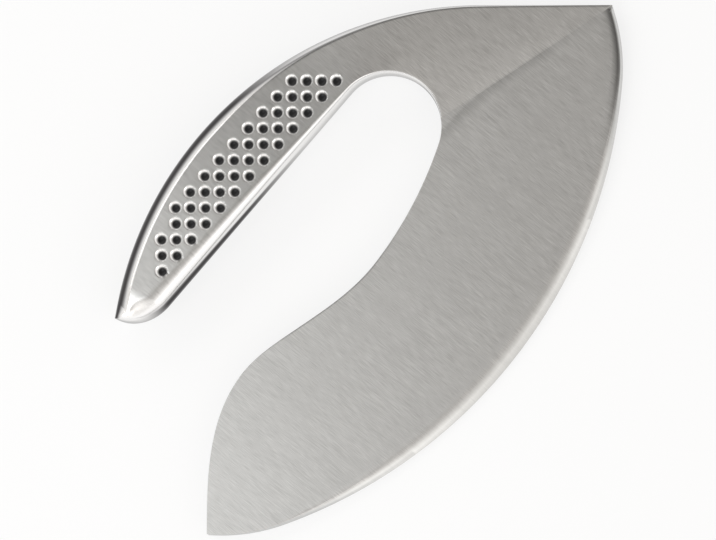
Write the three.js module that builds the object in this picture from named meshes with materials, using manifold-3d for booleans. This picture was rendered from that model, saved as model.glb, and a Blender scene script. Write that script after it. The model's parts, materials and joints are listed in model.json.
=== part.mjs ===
// Single-handed mezzaluna. A crescent blade runs up into a neck at one end, and the neck turns back over
// the fingers as a hollow, dimpled handle. All sizes are in millimetres.
//
// The knife is drawn flat first. X runs along the chord from the free tip to the neck tip, Y points from the
// cutting edge to the handle, and the middle plane of the blade is Z = 0. At the end the whole knife is laid
// down as it lies on a board, on the back of its grip and on its cutting edge.
import * as THREE from "three";
import { mergeVertices } from "three/addons/utils/BufferGeometryUtils.js";
import Module from "manifold-3d";

// Blade
const BLADE_LENGTH = 180; // chord from tip to tip
const BLADE_THICKNESS = 2.4;
const EDGE_DROP = 37; // deepest point of the cutting edge below the chord
const TIP_CURL = 3.8; // how far the main arc of the edge passes below each tip
const TIP_ARC_RUN = 15; // length along the chord over which the edge curls up to a tip
const TIP_TRIM = 0.4; // cut back from each sharp tip, along both outlines
const EDGE_LAND = 0.2; // thickness of the cutting edge itself
const BEVEL_WIDTH = 3.3; // at the middle of the edge
const BEVEL_WIDTH_AT_TIPS = 0.8; // it fades towards both of them
const SPINE_TIP_HEADING = 37.4; // degrees
const SPINE_CREST = { fromFreeTip: 40, rise: 18.9 };
const SPINE_BEND = { fromFreeTip: 57, rise: 15.2, heading: -18.5 };
const SPINE_WAIST = { fromNeckTip: 94, rise: 8.5 };

// Finger opening, whose round end lies in the neck
const OPENING_RADIUS = 13.7;
const OPENING_TO_NECK_TIP = 48.7; // from the round end, along the chord
const OPENING_RISE = 27.5; // centre of the round end above the chord
const OPENING_ENTRY = 19; // degrees, heading of the spine as it runs into the round end
const CREASE_ANGLE = -43; // degrees round the opening at which the crease leaves it

// Handle outline
const BACK_RADIUS = 100; // the long arc over the back of the hand
const BACK_RISE = 67.3; // its highest point above the chord
const BACK_TOP_TO_NECK_TIP = 101;
const UNDERSIDE_HEADING = 176.7; // degrees, the straight side that the fingers close on
const TAIL_TO_NECK_TIP = 137; // where the underside starts to round up to the butt
const BUTT_TO_NECK_TIP = 148.6;
const BUTT_HEADING = 95; // degrees
const BUTT_TRIM = 0.8; // cut back from the sharp butt corner, along both outlines
const NECK_SECTION_HEADING = 75.5; // degrees, the cross-section where the neck has become the grip
const TAIL_SECTION_HEADING = 99.5; // degrees, the cross-section where the tail starts

// Handle section
const HANDLE_THICKNESS = 14;
const BUTT_THICKNESS = 9; // the tail rounds down to it
const WALL = 1.5;
const RAMP_STRAIGHT = 0.6; // part of the neck that rises at a steady slope before it levels out
const OUTER_ROUND = { crease: 0.25, neck: 1.75, grip: 3.2, butt: 4.2 }; // round-over along the back, width
const INNER_ROUND = { crease: 0.3, neck: 2.1, tail: 6.8, butt: 13 }; // round-over along the fingers, width
const OUTER_ROUND_SPREAD = 0.4; // part of the grip over which that round-over grows to its full width
const RIDGE_WIDTH = 0.05; // flat left where the two round-overs meet in the tail

// Dimples in the grip, on both sides
const DIMPLE_DIAMETER = 3.4;
const DIMPLE_DEPTH = 0.7;
const DIMPLE_PITCH_ACROSS = 3.99;
const DIMPLE_PITCH_ALONG = 4.25;
const DIMPLE_ROW_HEADING = -52.6; // degrees
const DIMPLE_COLUMN_HEADING = -141.3; // degrees
const DIMPLE_FIRST = { fromNeckTip: 69, rise: 56.1 }; // outer dimple of the row nearest the neck
const DIMPLE_BACK_MARGIN = 2.72; // least distance from a centre to the outer edge of the grip flat
const DIMPLE_FINGER_MARGIN = 0.9; // least distance to the inner edge of the grip flat
const DIMPLE_NECK_MARGIN = 0.5; // least distance past the cross-section where the neck ends
const DIMPLE_ROWS = 13;
const DIMPLE_ROW_REACH = 12; // positions tried along a row, each way

// Tang: the thin end of the blade plate, held between the two halves of the neck
const TANG_THICKNESS = 1.0;
const TANG_REACH = 16; // past the crease
const TANG_ROOT = 3; // overlap with the full blade plate
const TANG_SETBACK_OPENING = 5; // along the crease, from the opening
const TANG_SETBACK_TIP = 15; // along the crease, from the neck tip

// Welds, fits and filling
const FIT_GAP = 0.1; // clearance between pieces that are joined
const SEAM_HEIGHT = 0.8; // bead that closes the rim of the two halves
const SEAM_DEPTH = 0.7;
const SEAM_STOP = 2.5; // the seam bead ends this far from the crease
const NECK_BEAD_WIDTH = 1.6;
const NECK_BEAD_DEPTH = 0.5;
const NECK_BEAD_SETBACK_OPENING = 1.5;
const NECK_BEAD_SETBACK_TIP = 6;
const HOLLOW_CLEARANCE = 2; // solid metal left between the end of the tang and the hollow
const HOLLOW_LEAST_WIDTH = 3; // the hollow ends where the tail gets narrower than this inside
const SAND_GAP = 0.3; // between the sand and the walls of the hollow

// Fineness of the facets
const SPINE_STEPS = 44;
const CREASE_STEPS = 12;
const NECK_STEPS = 18;
const GRIP_STEPS = 22;
const TAIL_STEPS = 10;
const ROUND_STEPS = 5;
const FLAT_STEPS = 3;
const DIMPLE_SIDES = 9;
const DIMPLE_RINGS = 2;
const SAND_STRIDE = 2; // every second station is enough inside

const STEEL_SATIN = new THREE.MeshStandardMaterial({ color: 0xbab8b4, roughness: 0.38, metalness: 1 });
const STEEL_POLISHED = new THREE.MeshStandardMaterial({ color: 0xcfcecb, roughness: 0.22, metalness: 1 });
const STEEL_WELD = new THREE.MeshStandardMaterial({ color: 0xc6c5c2, roughness: 0.3, metalness: 1 });
const SAND = new THREE.MeshStandardMaterial({ color: 0xc8b58c, roughness: 1, metalness: 0 });

const wasm = await Module();
wasm.setup();

const radians = THREE.MathUtils.degToRad;
const lerp = THREE.MathUtils.lerp;
const point = (x, y) => new THREE.Vector2(x, y);
const towards = (angle) => new THREE.Vector2(Math.cos(angle), Math.sin(angle));
const LEFT = 1;
const RIGHT = -1;

// Plane curves

/** A cubic between two points with given headings, with the handles of an arc of the same turn. */
function sweep(from, headingFrom, to, headingTo) {
  const span = from.distanceTo(to);
  const turn = Math.abs(headingTo - headingFrom);
  const reach = turn > 0 ? (2 * span * Math.tan(turn / 4)) / (3 * Math.sin(turn / 2)) : span / 3;
  const leave = from.clone().addScaledVector(towards(headingFrom), reach);
  const arrive = to.clone().addScaledVector(towards(headingTo), -reach);
  return new THREE.CubicBezierCurve(from, leave, arrive, to);
}

/** An arc about a centre, from one polar angle to another, the short way if clockwise is set right. */
function arc(centre, radius, start, end, clockwise) {
  return new THREE.EllipseCurve(centre.x, centre.y, radius, radius, start, end, clockwise);
}

/** Several curves end to end. */
function chain(...curves) {
  const path = new THREE.CurvePath();
  curves.forEach((curve) => path.add(curve));
  return path;
}

/** Points at equal steps along a curve, between two distances from its start. */
function walk(curve, from, to, steps) {
  const length = curve.getLength();
  const places = [];
  for (let i = 0; i <= steps; i++) places.push(curve.getPointAt(lerp(from, to, i / steps) / length));
  return places;
}

// Solids

/** The closed solid of a geometry, with its faces pointing out. */
function solid(geometry) {
  const bare = new THREE.BufferGeometry();
  bare.setAttribute("position", geometry.getAttribute("position"));
  if (geometry.index) bare.setIndex(geometry.index);
  const merged = mergeVertices(bare, 1e-4);
  const corners = [];
  for (let i = 0; i < merged.index.count; i += 3) {
    const [a, b, c] = [merged.index.getX(i), merged.index.getX(i + 1), merged.index.getX(i + 2)];
    if (a !== b && b !== c && c !== a) corners.push(a, b, c);
  }
  const build = (order) =>
    new wasm.Manifold(
      new wasm.Mesh({
        numProp: 3,
        vertProperties: merged.getAttribute("position").array,
        triVerts: Uint32Array.from(order),
      }),
    );
  const body = build(corners);
  return body.volume() < 0 ? build(corners.toReversed()) : body;
}

/** A solid through closed loops of equal count, with a fan from the first point at each end. */
function loft(loops) {
  const count = loops[0].length;
  const positions = loops.flat().flatMap((p) => [p.x, p.y, p.z]);
  const index = [];
  for (let i = 0; i + 1 < loops.length; i++) {
    for (let j = 0; j < count; j++) {
      const a = i * count + j;
      const b = i * count + ((j + 1) % count);
      index.push(a, b, a + count, b, b + count, a + count);
    }
  }
  const last = (loops.length - 1) * count;
  for (let j = 1; j + 1 < count; j++) {
    index.push(0, j + 1, j, last, last + j, last + j + 1);
  }
  const geometry = new THREE.BufferGeometry();
  geometry.setAttribute("position", new THREE.Float32BufferAttribute(positions, 3));
  geometry.setIndex(index);
  return solid(geometry);
}

/** A plate of an outline, with an optional hole, between two heights. */
function plate(outline, bottom, top, hole) {
  const shape = new THREE.Shape(outline);
  if (hole) shape.holes.push(new THREE.Path(hole));
  const geometry = new THREE.ExtrudeGeometry(shape, { depth: top - bottom, bevelEnabled: false });
  return solid(geometry.translate(0, 0, bottom));
}

/** The geometry of a solid. */
function geometryOf(body) {
  const { vertProperties, triVerts } = body.getMesh();
  const geometry = new THREE.BufferGeometry();
  geometry.setAttribute("position", new THREE.BufferAttribute(vertProperties, 3));
  geometry.setIndex(new THREE.BufferAttribute(triVerts, 1));
  geometry.computeVertexNormals();
  return geometry;
}

/** The solid mirrored in the middle plane of the blade. */
function mirrored(body) {
  return solid(geometryOf(body).scale(1, 1, -1));
}

// Outlines of the knife

const freeTip = point(0, 0);
const neckTip = point(BLADE_LENGTH, 0);

/** Cutting edge: one long arc that curls up to each tip in a shorter arc tangent to it. */
function cuttingEdge() {
  const half = BLADE_LENGTH / 2;
  const drop = EDGE_DROP - TIP_CURL;
  const radius = (half * half + drop * drop) / (2 * drop);
  const centre = point(half, radius - EDGE_DROP);
  const joinAngle = Math.acos((half - TIP_ARC_RUN) / radius);
  const curl = (tip, side) => {
    const outward = point(side * Math.cos(joinAngle), -Math.sin(joinAngle));
    const join = centre.clone().addScaledVector(outward, radius);
    const toJoin = join.clone().sub(tip);
    const tipRadius = toJoin.lengthSq() / (2 * toJoin.dot(outward));
    const tipCentre = join.clone().addScaledVector(outward, -tipRadius);
    return { centre: tipCentre, radius: tipRadius, angle: tip.clone().sub(tipCentre).angle() };
  };
  const free = curl(freeTip, -1);
  const neck = curl(neckTip, 1);
  const freeJoin = Math.PI + joinAngle;
  const neckJoin = 2 * Math.PI - joinAngle;
  return chain(
    arc(free.centre, free.radius, free.angle, freeJoin, false),
    arc(centre, radius, freeJoin, neckJoin, false),
    arc(neck.centre, neck.radius, neckJoin, neck.angle, false),
  );
}

const opening = {
  centre: point(BLADE_LENGTH - OPENING_TO_NECK_TIP - OPENING_RADIUS, OPENING_RISE),
  entry: radians(OPENING_ENTRY - 90),
  crease: radians(CREASE_ANGLE),
  exit: radians(UNDERSIDE_HEADING - 90),
};
const onOpening = (angle) => opening.centre.clone().addScaledVector(towards(angle), OPENING_RADIUS);
const creaseStart = onOpening(opening.crease);

/** Spine of the blade, from the free tip over the crest and the waist into the round end of the opening. */
function bladeSpine() {
  const crest = point(SPINE_CREST.fromFreeTip, SPINE_CREST.rise);
  const bend = point(SPINE_BEND.fromFreeTip, SPINE_BEND.rise);
  const waist = point(BLADE_LENGTH - SPINE_WAIST.fromNeckTip, SPINE_WAIST.rise);
  const bendHeading = radians(SPINE_BEND.heading);
  return chain(
    sweep(freeTip, radians(SPINE_TIP_HEADING), crest, 0),
    sweep(crest, 0, bend, bendHeading),
    sweep(bend, bendHeading, waist, 0),
    sweep(waist, 0, onOpening(opening.entry), radians(OPENING_ENTRY)),
    arc(opening.centre, OPENING_RADIUS, opening.entry, opening.crease, false),
  );
}

const back = { centre: point(BLADE_LENGTH - BACK_TOP_TO_NECK_TIP, BACK_RISE - BACK_RADIUS) };
const onBack = (angle) => back.centre.clone().addScaledVector(towards(angle), BACK_RADIUS);

/** Polar angle at which a line from a point, with a heading, crosses the arc of the back. */
function backAngleAlong(from, heading) {
  const offset = from.clone().sub(back.centre);
  const along = offset.dot(towards(heading));
  const reach = -along + Math.sqrt(along * along - offset.lengthSq() + BACK_RADIUS * BACK_RADIUS);
  return offset.addScaledVector(towards(heading), reach).angle();
}

/** Rims of the handle, outer and inner, each in three matched stretches: neck, grip and tail. */
function handleRims() {
  const neckEnd = onOpening(opening.exit);
  const underside = towards(radians(UNDERSIDE_HEADING));
  const tailX = BLADE_LENGTH - TAIL_TO_NECK_TIP;
  const tailStart = neckEnd.clone().addScaledVector(underside, (tailX - neckEnd.x) / underside.x);
  const buttAngle = Math.acos((BACK_TOP_TO_NECK_TIP - BUTT_TO_NECK_TIP) / BACK_RADIUS);
  const toTip = neckTip.clone().sub(back.centre);
  const tangentAngle = toTip.angle() + Math.acos(BACK_RADIUS / toTip.length());
  const neckAngle = backAngleAlong(neckEnd, radians(NECK_SECTION_HEADING));
  const tailAngle = backAngleAlong(tailStart, radians(TAIL_SECTION_HEADING));
  const backArc = (start, end) => arc(back.centre, BACK_RADIUS, start, end, false);
  return {
    outer: {
      neck: chain(new THREE.LineCurve(neckTip, onBack(tangentAngle)), backArc(tangentAngle, neckAngle)),
      grip: backArc(neckAngle, tailAngle),
      tail: backArc(tailAngle, buttAngle),
    },
    inner: {
      neck: arc(opening.centre, OPENING_RADIUS, opening.crease, opening.exit, false),
      grip: new THREE.LineCurve(neckEnd, tailStart),
      tail: sweep(tailStart, radians(UNDERSIDE_HEADING), onBack(buttAngle), radians(BUTT_HEADING)),
    },
  };
}

// Handle sections

/** Rise of the neck from the blade to the grip: a steady ramp, then a parabola that levels out. */
function neckRise(along) {
  const slope = 2 / (1 + RAMP_STRAIGHT);
  if (along <= RAMP_STRAIGHT) return slope * along;
  const left = 1 - along;
  return 1 - (slope * left * left) / (2 * (1 - RAMP_STRAIGHT));
}

/** Stations from the crease to the butt, each with its rim points, half height and round-over widths. */
function handleStations() {
  const rims = handleRims();
  const steps = { neck: NECK_STEPS, grip: GRIP_STEPS, tail: TAIL_STEPS };
  const stations = [];
  for (const stretch of ["neck", "grip", "tail"]) {
    const trim = stretch === "tail" ? BUTT_TRIM : 0;
    const outer = rims.outer[stretch];
    const inner = rims.inner[stretch];
    const outerPoints = walk(outer, 0, outer.getLength() - trim, steps[stretch]);
    const innerPoints = walk(inner, 0, inner.getLength() - trim, steps[stretch]);
    const first = stations.length ? 1 : 0;
    for (let i = first; i <= steps[stretch]; i++) {
      const along = i / steps[stretch];
      stations.push({ outer: outerPoints[i], inner: innerPoints[i], ...sectionSizes(stretch, along) });
    }
  }
  return stations;
}

/** Half height and round-over widths at a place along a stretch of the handle. */
function sectionSizes(stretch, along) {
  const gripHeight = HANDLE_THICKNESS / 2;
  if (stretch === "neck") {
    return {
      height: lerp(BLADE_THICKNESS / 2, gripHeight, neckRise(along)),
      outerRound: lerp(OUTER_ROUND.crease, OUTER_ROUND.neck, along),
      innerRound: lerp(INNER_ROUND.crease, INNER_ROUND.neck, along),
    };
  }
  if (stretch === "grip") {
    return {
      height: gripHeight,
      outerRound: lerp(OUTER_ROUND.neck, OUTER_ROUND.grip, Math.min(1, along / OUTER_ROUND_SPREAD)),
      innerRound: lerp(INNER_ROUND.neck, INNER_ROUND.tail, along),
    };
  }
  return {
    height: lerp(gripHeight, BUTT_THICKNESS / 2, along * along),
    outerRound: lerp(OUTER_ROUND.grip, OUTER_ROUND.butt, along),
    innerRound: lerp(INNER_ROUND.tail, INNER_ROUND.butt, along),
  };
}

/** The upper half of a section, from rim to rim, set in from the surface and cut off at a floor height. */
function upperSection(station, inset, floor) {
  const across = station.inner.clone().sub(station.outer);
  const width = across.length() - 2 * inset;
  across.normalize();
  const height = station.height - inset;
  const rounds = station.outerRound + station.innerRound;
  const share = Math.min(1, (width - RIDGE_WIDTH) / rounds);
  const shoulder = Math.acos(1 - share);
  const foot = Math.asin(floor / height);
  const place = (distance, z) => {
    const flat = station.outer.clone().addScaledVector(across, inset + distance);
    return new THREE.Vector3(flat.x, flat.y, z);
  };
  const loop = [];
  for (let i = 0; i <= ROUND_STEPS; i++) {
    const angle = lerp(foot, shoulder, i / ROUND_STEPS);
    loop.push(place(station.outerRound * (1 - Math.cos(angle)), height * Math.sin(angle)));
  }
  const flatStart = station.outerRound * share;
  const flatEnd = width - station.innerRound * share;
  for (let i = 1; i < FLAT_STEPS; i++) {
    loop.push(place(lerp(flatStart, flatEnd, i / FLAT_STEPS), height * Math.sin(shoulder)));
  }
  for (let i = ROUND_STEPS; i >= 0; i--) {
    const angle = lerp(foot, shoulder, i / ROUND_STEPS);
    loop.push(place(width - station.innerRound * (1 - Math.cos(angle)), height * Math.sin(angle)));
  }
  return loop;
}

/** Edge of the grip flat at a station, on the outer or the inner side, seen from above. */
function flatEdge(station, side) {
  const across = station.inner.clone().sub(station.outer).normalize();
  if (side === "outer") return station.outer.clone().addScaledVector(across, station.outerRound);
  return station.inner.clone().addScaledVector(across, -station.innerRound);
}

/** Width of the grip flat at a station. */
function flatWidth(station) {
  return station.outer.distanceTo(station.inner) - station.outerRound - station.innerRound;
}

// Crease frame: distances along the crease from the opening, and square to it towards the handle

const crease = {
  length: creaseStart.distanceTo(neckTip),
  along: neckTip.clone().sub(creaseStart).normalize(),
};
crease.square = point(-crease.along.y, crease.along.x);
const onCrease = (along, square) =>
  creaseStart.clone().addScaledVector(crease.along, along).addScaledVector(crease.square, square);

// Sub-parts

/** Crescent plate with flat faces and a ground bevel, without its tang. */
function bladePlate() {
  const spine = bladeSpine();
  const creaseLine = new THREE.LineCurve(creaseStart, neckTip);
  const edge = cuttingEdge();
  const spineLength = spine.getLength();
  const edgeLength = edge.getLength();
  const edgeSplit = (edgeLength * spineLength) / (spineLength + crease.length);
  const backPoints = [
    ...walk(spine, TIP_TRIM, spineLength, SPINE_STEPS),
    ...walk(creaseLine, 0, crease.length - TIP_TRIM, CREASE_STEPS).slice(1),
  ];
  const edgePlaces = [];
  for (let i = 0; i <= SPINE_STEPS; i++) edgePlaces.push(lerp(TIP_TRIM, edgeSplit, i / SPINE_STEPS));
  for (let i = 1; i <= CREASE_STEPS; i++) {
    edgePlaces.push(lerp(edgeSplit, edgeLength - TIP_TRIM, i / CREASE_STEPS));
  }
  const half = BLADE_THICKNESS / 2;
  const land = EDGE_LAND / 2;
  const loops = backPoints.map((backPoint, i) => {
    const along = edgePlaces[i] / edgeLength;
    const edgePoint = edge.getPointAt(along);
    const tangent = edge.getTangentAt(along);
    const wanted = lerp(BEVEL_WIDTH_AT_TIPS, BEVEL_WIDTH, Math.sin(Math.PI * along) ** 2);
    const width = Math.min(wanted, backPoint.distanceTo(edgePoint) / 2);
    const bevel = edgePoint.clone().addScaledVector(point(-tangent.y, tangent.x), width);
    const raise = (p, z) => new THREE.Vector3(p.x, p.y, z);
    return [
      raise(backPoint, half),
      raise(bevel, half),
      raise(edgePoint, land),
      raise(edgePoint, -land),
      raise(bevel, -half),
      raise(backPoint, -half),
    ];
  });
  return loft(loops);
}

/** Corners of the tang in plan, all sides moved out by a clearance. */
function tangCorners(grow) {
  const lean = Math.atan2(onBackTangent().dot(crease.square), -onBackTangent().dot(crease.along));
  const left = TANG_SETBACK_OPENING - grow;
  const right = crease.length - TANG_SETBACK_TIP + grow / Math.sin(lean);
  const far = TANG_REACH + grow;
  return [
    onCrease(left, -TANG_ROOT),
    onCrease(right, -TANG_ROOT),
    onCrease(right, 0),
    onCrease(right - far / Math.tan(lean), far),
    onCrease(left, far),
  ];
}

/** Direction of the straight outer side of the neck, from the neck tip. */
function onBackTangent() {
  const toTip = neckTip.clone().sub(back.centre);
  const tangentAngle = toTip.angle() + Math.acos(BACK_RADIUS / toTip.length());
  return onBack(tangentAngle).sub(neckTip).normalize();
}

/** Plan outline of the handle, from the neck tip round the butt and back to the opening. */
function handleOutline(stations) {
  const outer = stations.map((station) => station.outer);
  const inner = stations.map((station) => station.inner);
  return [...outer, ...inner.reverse()];
}

/** A closed outline, running anticlockwise, moved in by a distance, or out by a negative one. */
function movedIn(outline, distance) {
  return outline.map((corner, i) => {
    const before = corner.clone().sub(outline.at(i - 1)).normalize();
    const after = outline[(i + 1) % outline.length].clone().sub(corner).normalize();
    const inward = point(-before.y, before.x).add(point(-after.y, after.x)).normalize();
    const square = inward.dot(point(-before.y, before.x));
    return corner.clone().addScaledVector(inward, distance / square);
  });
}

/** Rim bead of the two halves, open at the crease; grown by a clearance it is the step that takes it. */
function seamBand(stations, grow) {
  const outline = handleOutline(stations);
  const half = SEAM_HEIGHT / 2 + grow;
  const band = plate(movedIn(outline, -grow), -half, half, movedIn(outline, SEAM_DEPTH + grow));
  const stop = SEAM_STOP - grow;
  const beyond = crease.length;
  const creaseEnd = plate(
    [
      onCrease(-beyond, -beyond),
      onCrease(2 * beyond, -beyond),
      onCrease(2 * beyond, stop),
      onCrease(-beyond, stop),
    ],
    -SEAM_HEIGHT,
    SEAM_HEIGHT,
  );
  return band.subtract(creaseEnd);
}

/** Slope of the neck square to the crease, at the rim on the opening's side or on the outer side. */
function neckSlope(stations, side) {
  const [start, next] = stations;
  const run = next[side].clone().sub(start[side]).dot(crease.square);
  return (next.height - start.height) / run;
}

/** Bead along the crease, flush with the blade and the neck; the groove for it when it is grown. */
function neckBead(stations, grow, overshoot) {
  const spread = NECK_BEAD_WIDTH / 2 / NECK_BEAD_DEPTH;
  const face = BLADE_THICKNESS / 2;
  const root = face - NECK_BEAD_DEPTH - (grow * Math.hypot(1, spread)) / spread;
  const ends = [
    { along: NECK_BEAD_SETBACK_OPENING - grow, slope: neckSlope(stations, "inner") },
    { along: crease.length - NECK_BEAD_SETBACK_TIP + grow, slope: neckSlope(stations, "outer") },
  ];
  const loops = ends.map(({ along, slope }) => {
    const top = face + overshoot;
    const neckSide = (spread * (top - root)) / (1 - slope * spread);
    const corner = (square, z) => {
      const flat = onCrease(along, square);
      return new THREE.Vector3(flat.x, flat.y, z);
    };
    return [
      corner(0, root),
      corner(neckSide, top + slope * neckSide),
      corner(0, top),
      corner(-spread * (top - root), top),
    ];
  });
  return loft(loops);
}

/** Centres of the dimples: places of the lattice that lie well inside the grip flat. */
function dimpleCentres(stations) {
  const flat = stations.slice(NECK_STEPS).filter((station) => flatWidth(station) > 0);
  const backEdge = flat.map((station) => flatEdge(station, "outer"));
  const fingerEdge = flat.map((station) => flatEdge(station, "inner"));
  const neckEnd = [flat[0].outer, flat[0].inner];
  const first = point(BLADE_LENGTH - DIMPLE_FIRST.fromNeckTip, DIMPLE_FIRST.rise);
  const across = towards(radians(DIMPLE_ROW_HEADING)).multiplyScalar(DIMPLE_PITCH_ACROSS);
  const down = towards(radians(DIMPLE_COLUMN_HEADING)).multiplyScalar(DIMPLE_PITCH_ALONG);
  const centres = [];
  for (let row = 0; row < DIMPLE_ROWS; row++) {
    for (let column = -DIMPLE_ROW_REACH; column <= DIMPLE_ROW_REACH; column++) {
      const centre = first.clone().addScaledVector(down, row).addScaledVector(across, column);
      const inside =
        distanceInside(centre, backEdge, LEFT) >= DIMPLE_BACK_MARGIN &&
        distanceInside(centre, fingerEdge, RIGHT) >= DIMPLE_FINGER_MARGIN &&
        distanceInside(centre, neckEnd, RIGHT) >= DIMPLE_NECK_MARGIN;
      if (inside) centres.push(centre);
    }
  }
  return centres;
}

/** How far a point lies to the left or the right of an open line of points; negative past it. */
function distanceInside(place, line, side) {
  let nearest = Infinity;
  let signed = 0;
  for (let i = 0; i + 1 < line.length; i++) {
    const step = line[i + 1].clone().sub(line[i]);
    const reach = place.clone().sub(line[i]);
    const share = THREE.MathUtils.clamp(reach.dot(step) / step.lengthSq(), 0, 1);
    const gap = reach.clone().addScaledVector(step, -share).length();
    if (gap < nearest) {
      nearest = gap;
      signed = side * Math.sign(step.cross(reach)) * gap;
    }
  }
  return signed;
}

/** Cutter for one dimple: a ball's lower cap, opening out above the surface. */
function dimpleCutter() {
  const radius = DIMPLE_DIAMETER / 2;
  const ball = (radius * radius + DIMPLE_DEPTH * DIMPLE_DEPTH) / (2 * DIMPLE_DEPTH);
  const rimAngle = Math.asin(radius / ball);
  const profile = [];
  for (let i = 0; i <= DIMPLE_RINGS; i++) {
    const angle = (rimAngle * i) / DIMPLE_RINGS;
    profile.push(point(ball * Math.sin(angle), ball * (1 - Math.cos(angle)) - DIMPLE_DEPTH));
  }
  profile.push(point(radius + DIMPLE_DEPTH, DIMPLE_DEPTH), point(0, DIMPLE_DEPTH));
  return new THREE.LatheGeometry(profile, DIMPLE_SIDES).rotateX(Math.PI / 2);
}

/** Stations that the hollow runs through: past the tang, up to where the tail gets too narrow. */
function hollowStations(stations, inset) {
  const corners = tangCorners(0);
  return stations.filter((station) => {
    const section = station.inner.clone().sub(station.outer);
    const width = section.length();
    const clear = corners.every(
      (corner) => section.cross(corner.clone().sub(station.outer)) / width > HOLLOW_CLEARANCE,
    );
    return clear && width - 2 * inset > HOLLOW_LEAST_WIDTH;
  });
}

/** Front half of the handle, with its hollow, dimples, and seats for the tang and the welds. */
function frontShell(stations) {
  const outside = loft(stations.map((station) => upperSection(station, 0, FIT_GAP)));
  const hollow = loft(hollowStations(stations, WALL).map((station) => upperSection(station, WALL, 0)));
  const slot = plate(tangCorners(FIT_GAP), -TANG_THICKNESS, TANG_THICKNESS / 2 + FIT_GAP);
  const beyond = crease.length;
  const creaseGap = plate(
    [
      onCrease(-beyond, -beyond),
      onCrease(2 * beyond, -beyond),
      onCrease(2 * beyond, FIT_GAP),
      onCrease(-beyond, FIT_GAP),
    ],
    -HANDLE_THICKNESS,
    HANDLE_THICKNESS,
  );
  let shell = outside
    .subtract(hollow)
    .subtract(slot)
    .subtract(creaseGap)
    .subtract(seamBand(stations, FIT_GAP))
    .subtract(neckBead(stations, FIT_GAP, BLADE_THICKNESS));
  const cutter = dimpleCutter();
  for (const centre of dimpleCentres(stations)) {
    shell = shell.subtract(solid(cutter.clone().translate(centre.x, centre.y, HANDLE_THICKNESS / 2)));
  }
  return shell;
}

/** Blade plate with its tang and the grooves for the neck beads. */
function blade(stations) {
  const tang = plate(tangCorners(0), -TANG_THICKNESS / 2, TANG_THICKNESS / 2);
  const groove = neckBead(stations, FIT_GAP, BLADE_THICKNESS);
  return bladePlate().add(tang).subtract(groove).subtract(mirrored(groove));
}

/** Sand that fills the hollow of both halves. */
function sandFill(stations) {
  const inset = WALL + SAND_GAP;
  const inside = hollowStations(stations, inset).slice(1, -1);
  const used = inside.filter((station, i) => i % SAND_STRIDE === 0 || i === inside.length - 1);
  return loft(
    used.map((station) => {
      const upper = upperSection(station, inset, 0);
      const lower = upper.slice(1, -1).reverse();
      return [...upper, ...lower.map((p) => new THREE.Vector3(p.x, p.y, -p.z))];
    }),
  );
}

// Rest pose

/** Lays the knife on the inner edge of its back grip flat and on the lowest point of its cutting edge. */
function layDown(knife, stations) {
  const near = flatEdge(stations[NECK_STEPS], "inner");
  const far = flatEdge(stations[NECK_STEPS + GRIP_STEPS], "inner");
  const line = near.clone().sub(far).normalize();
  const square = point(line.y, -line.x);
  const edge = cuttingEdge().getSpacedPoints(SPINE_STEPS + CREASE_STEPS);
  const reach = Math.max(...edge.map((place) => place.clone().sub(far).dot(square)));
  const lean = Math.asin((HANDLE_THICKNESS / 2 - EDGE_LAND / 2) / reach);
  knife.quaternion.setFromAxisAngle(new THREE.Vector3(line.x, line.y, 0), lean);
  const box = new THREE.Box3().setFromObject(knife, true);
  const middle = box.getCenter(new THREE.Vector3());
  knife.position.sub(new THREE.Vector3(middle.x, middle.y, box.min.z));
}

// Assembly

const stations = handleStations();
const shell = frontShell(stations);
const bead = neckBead(stations, 0, 0);
const pieces = [
  ["blade", blade(stations), STEEL_SATIN],
  ["handle_shell_front", shell, STEEL_POLISHED],
  ["handle_shell_back", mirrored(shell), STEEL_POLISHED],
  ["sand_fill", sandFill(stations), SAND],
  ["seam_weld", seamBand(stations, 0), STEEL_WELD],
  ["neck_weld_front", bead, STEEL_WELD],
  ["neck_weld_back", mirrored(bead), STEEL_WELD],
];

const knife = new THREE.Group();
for (const [name, body, material] of pieces) {
  const mesh = new THREE.Mesh(geometryOf(body), material);
  mesh.name = name;
  knife.add(mesh);
}
layDown(knife, stations);

const mezzaluna = new THREE.Group();
mezzaluna.add(knife);

export default mezzaluna;
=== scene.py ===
"""Looks of a single-handed mezzaluna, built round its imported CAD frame.

The knife is drawn flat, as in its CAD source: X runs along the chord from the free tip to the neck tip,
Y points from the cutting edge to the handle, and the middle plane of the blade is Z = 0. Each finished piece
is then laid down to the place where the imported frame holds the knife.
"""

import json
import logging
import math
from collections.abc import Callable, Iterable, Sequence
from dataclasses import dataclass, field, replace
from enum import Enum

import bpy
from mathutils import Matrix, Vector
from mathutils.kdtree import KDTree

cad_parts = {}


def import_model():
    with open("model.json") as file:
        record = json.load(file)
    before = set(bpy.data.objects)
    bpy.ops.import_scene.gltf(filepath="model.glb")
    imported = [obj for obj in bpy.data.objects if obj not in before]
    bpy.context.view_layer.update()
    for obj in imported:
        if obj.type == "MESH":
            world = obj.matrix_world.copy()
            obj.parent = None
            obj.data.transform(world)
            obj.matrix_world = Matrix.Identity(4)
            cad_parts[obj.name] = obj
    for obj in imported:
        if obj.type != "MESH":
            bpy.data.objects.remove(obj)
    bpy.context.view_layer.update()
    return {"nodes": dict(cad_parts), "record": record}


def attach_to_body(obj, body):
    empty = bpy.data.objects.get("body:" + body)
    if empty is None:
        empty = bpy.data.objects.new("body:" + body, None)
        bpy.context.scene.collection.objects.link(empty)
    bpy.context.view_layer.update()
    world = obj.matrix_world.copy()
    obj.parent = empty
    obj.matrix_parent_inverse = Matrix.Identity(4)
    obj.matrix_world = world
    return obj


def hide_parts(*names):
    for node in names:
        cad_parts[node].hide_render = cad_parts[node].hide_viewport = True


LOG = logging.getLogger("mezzaluna")

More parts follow.
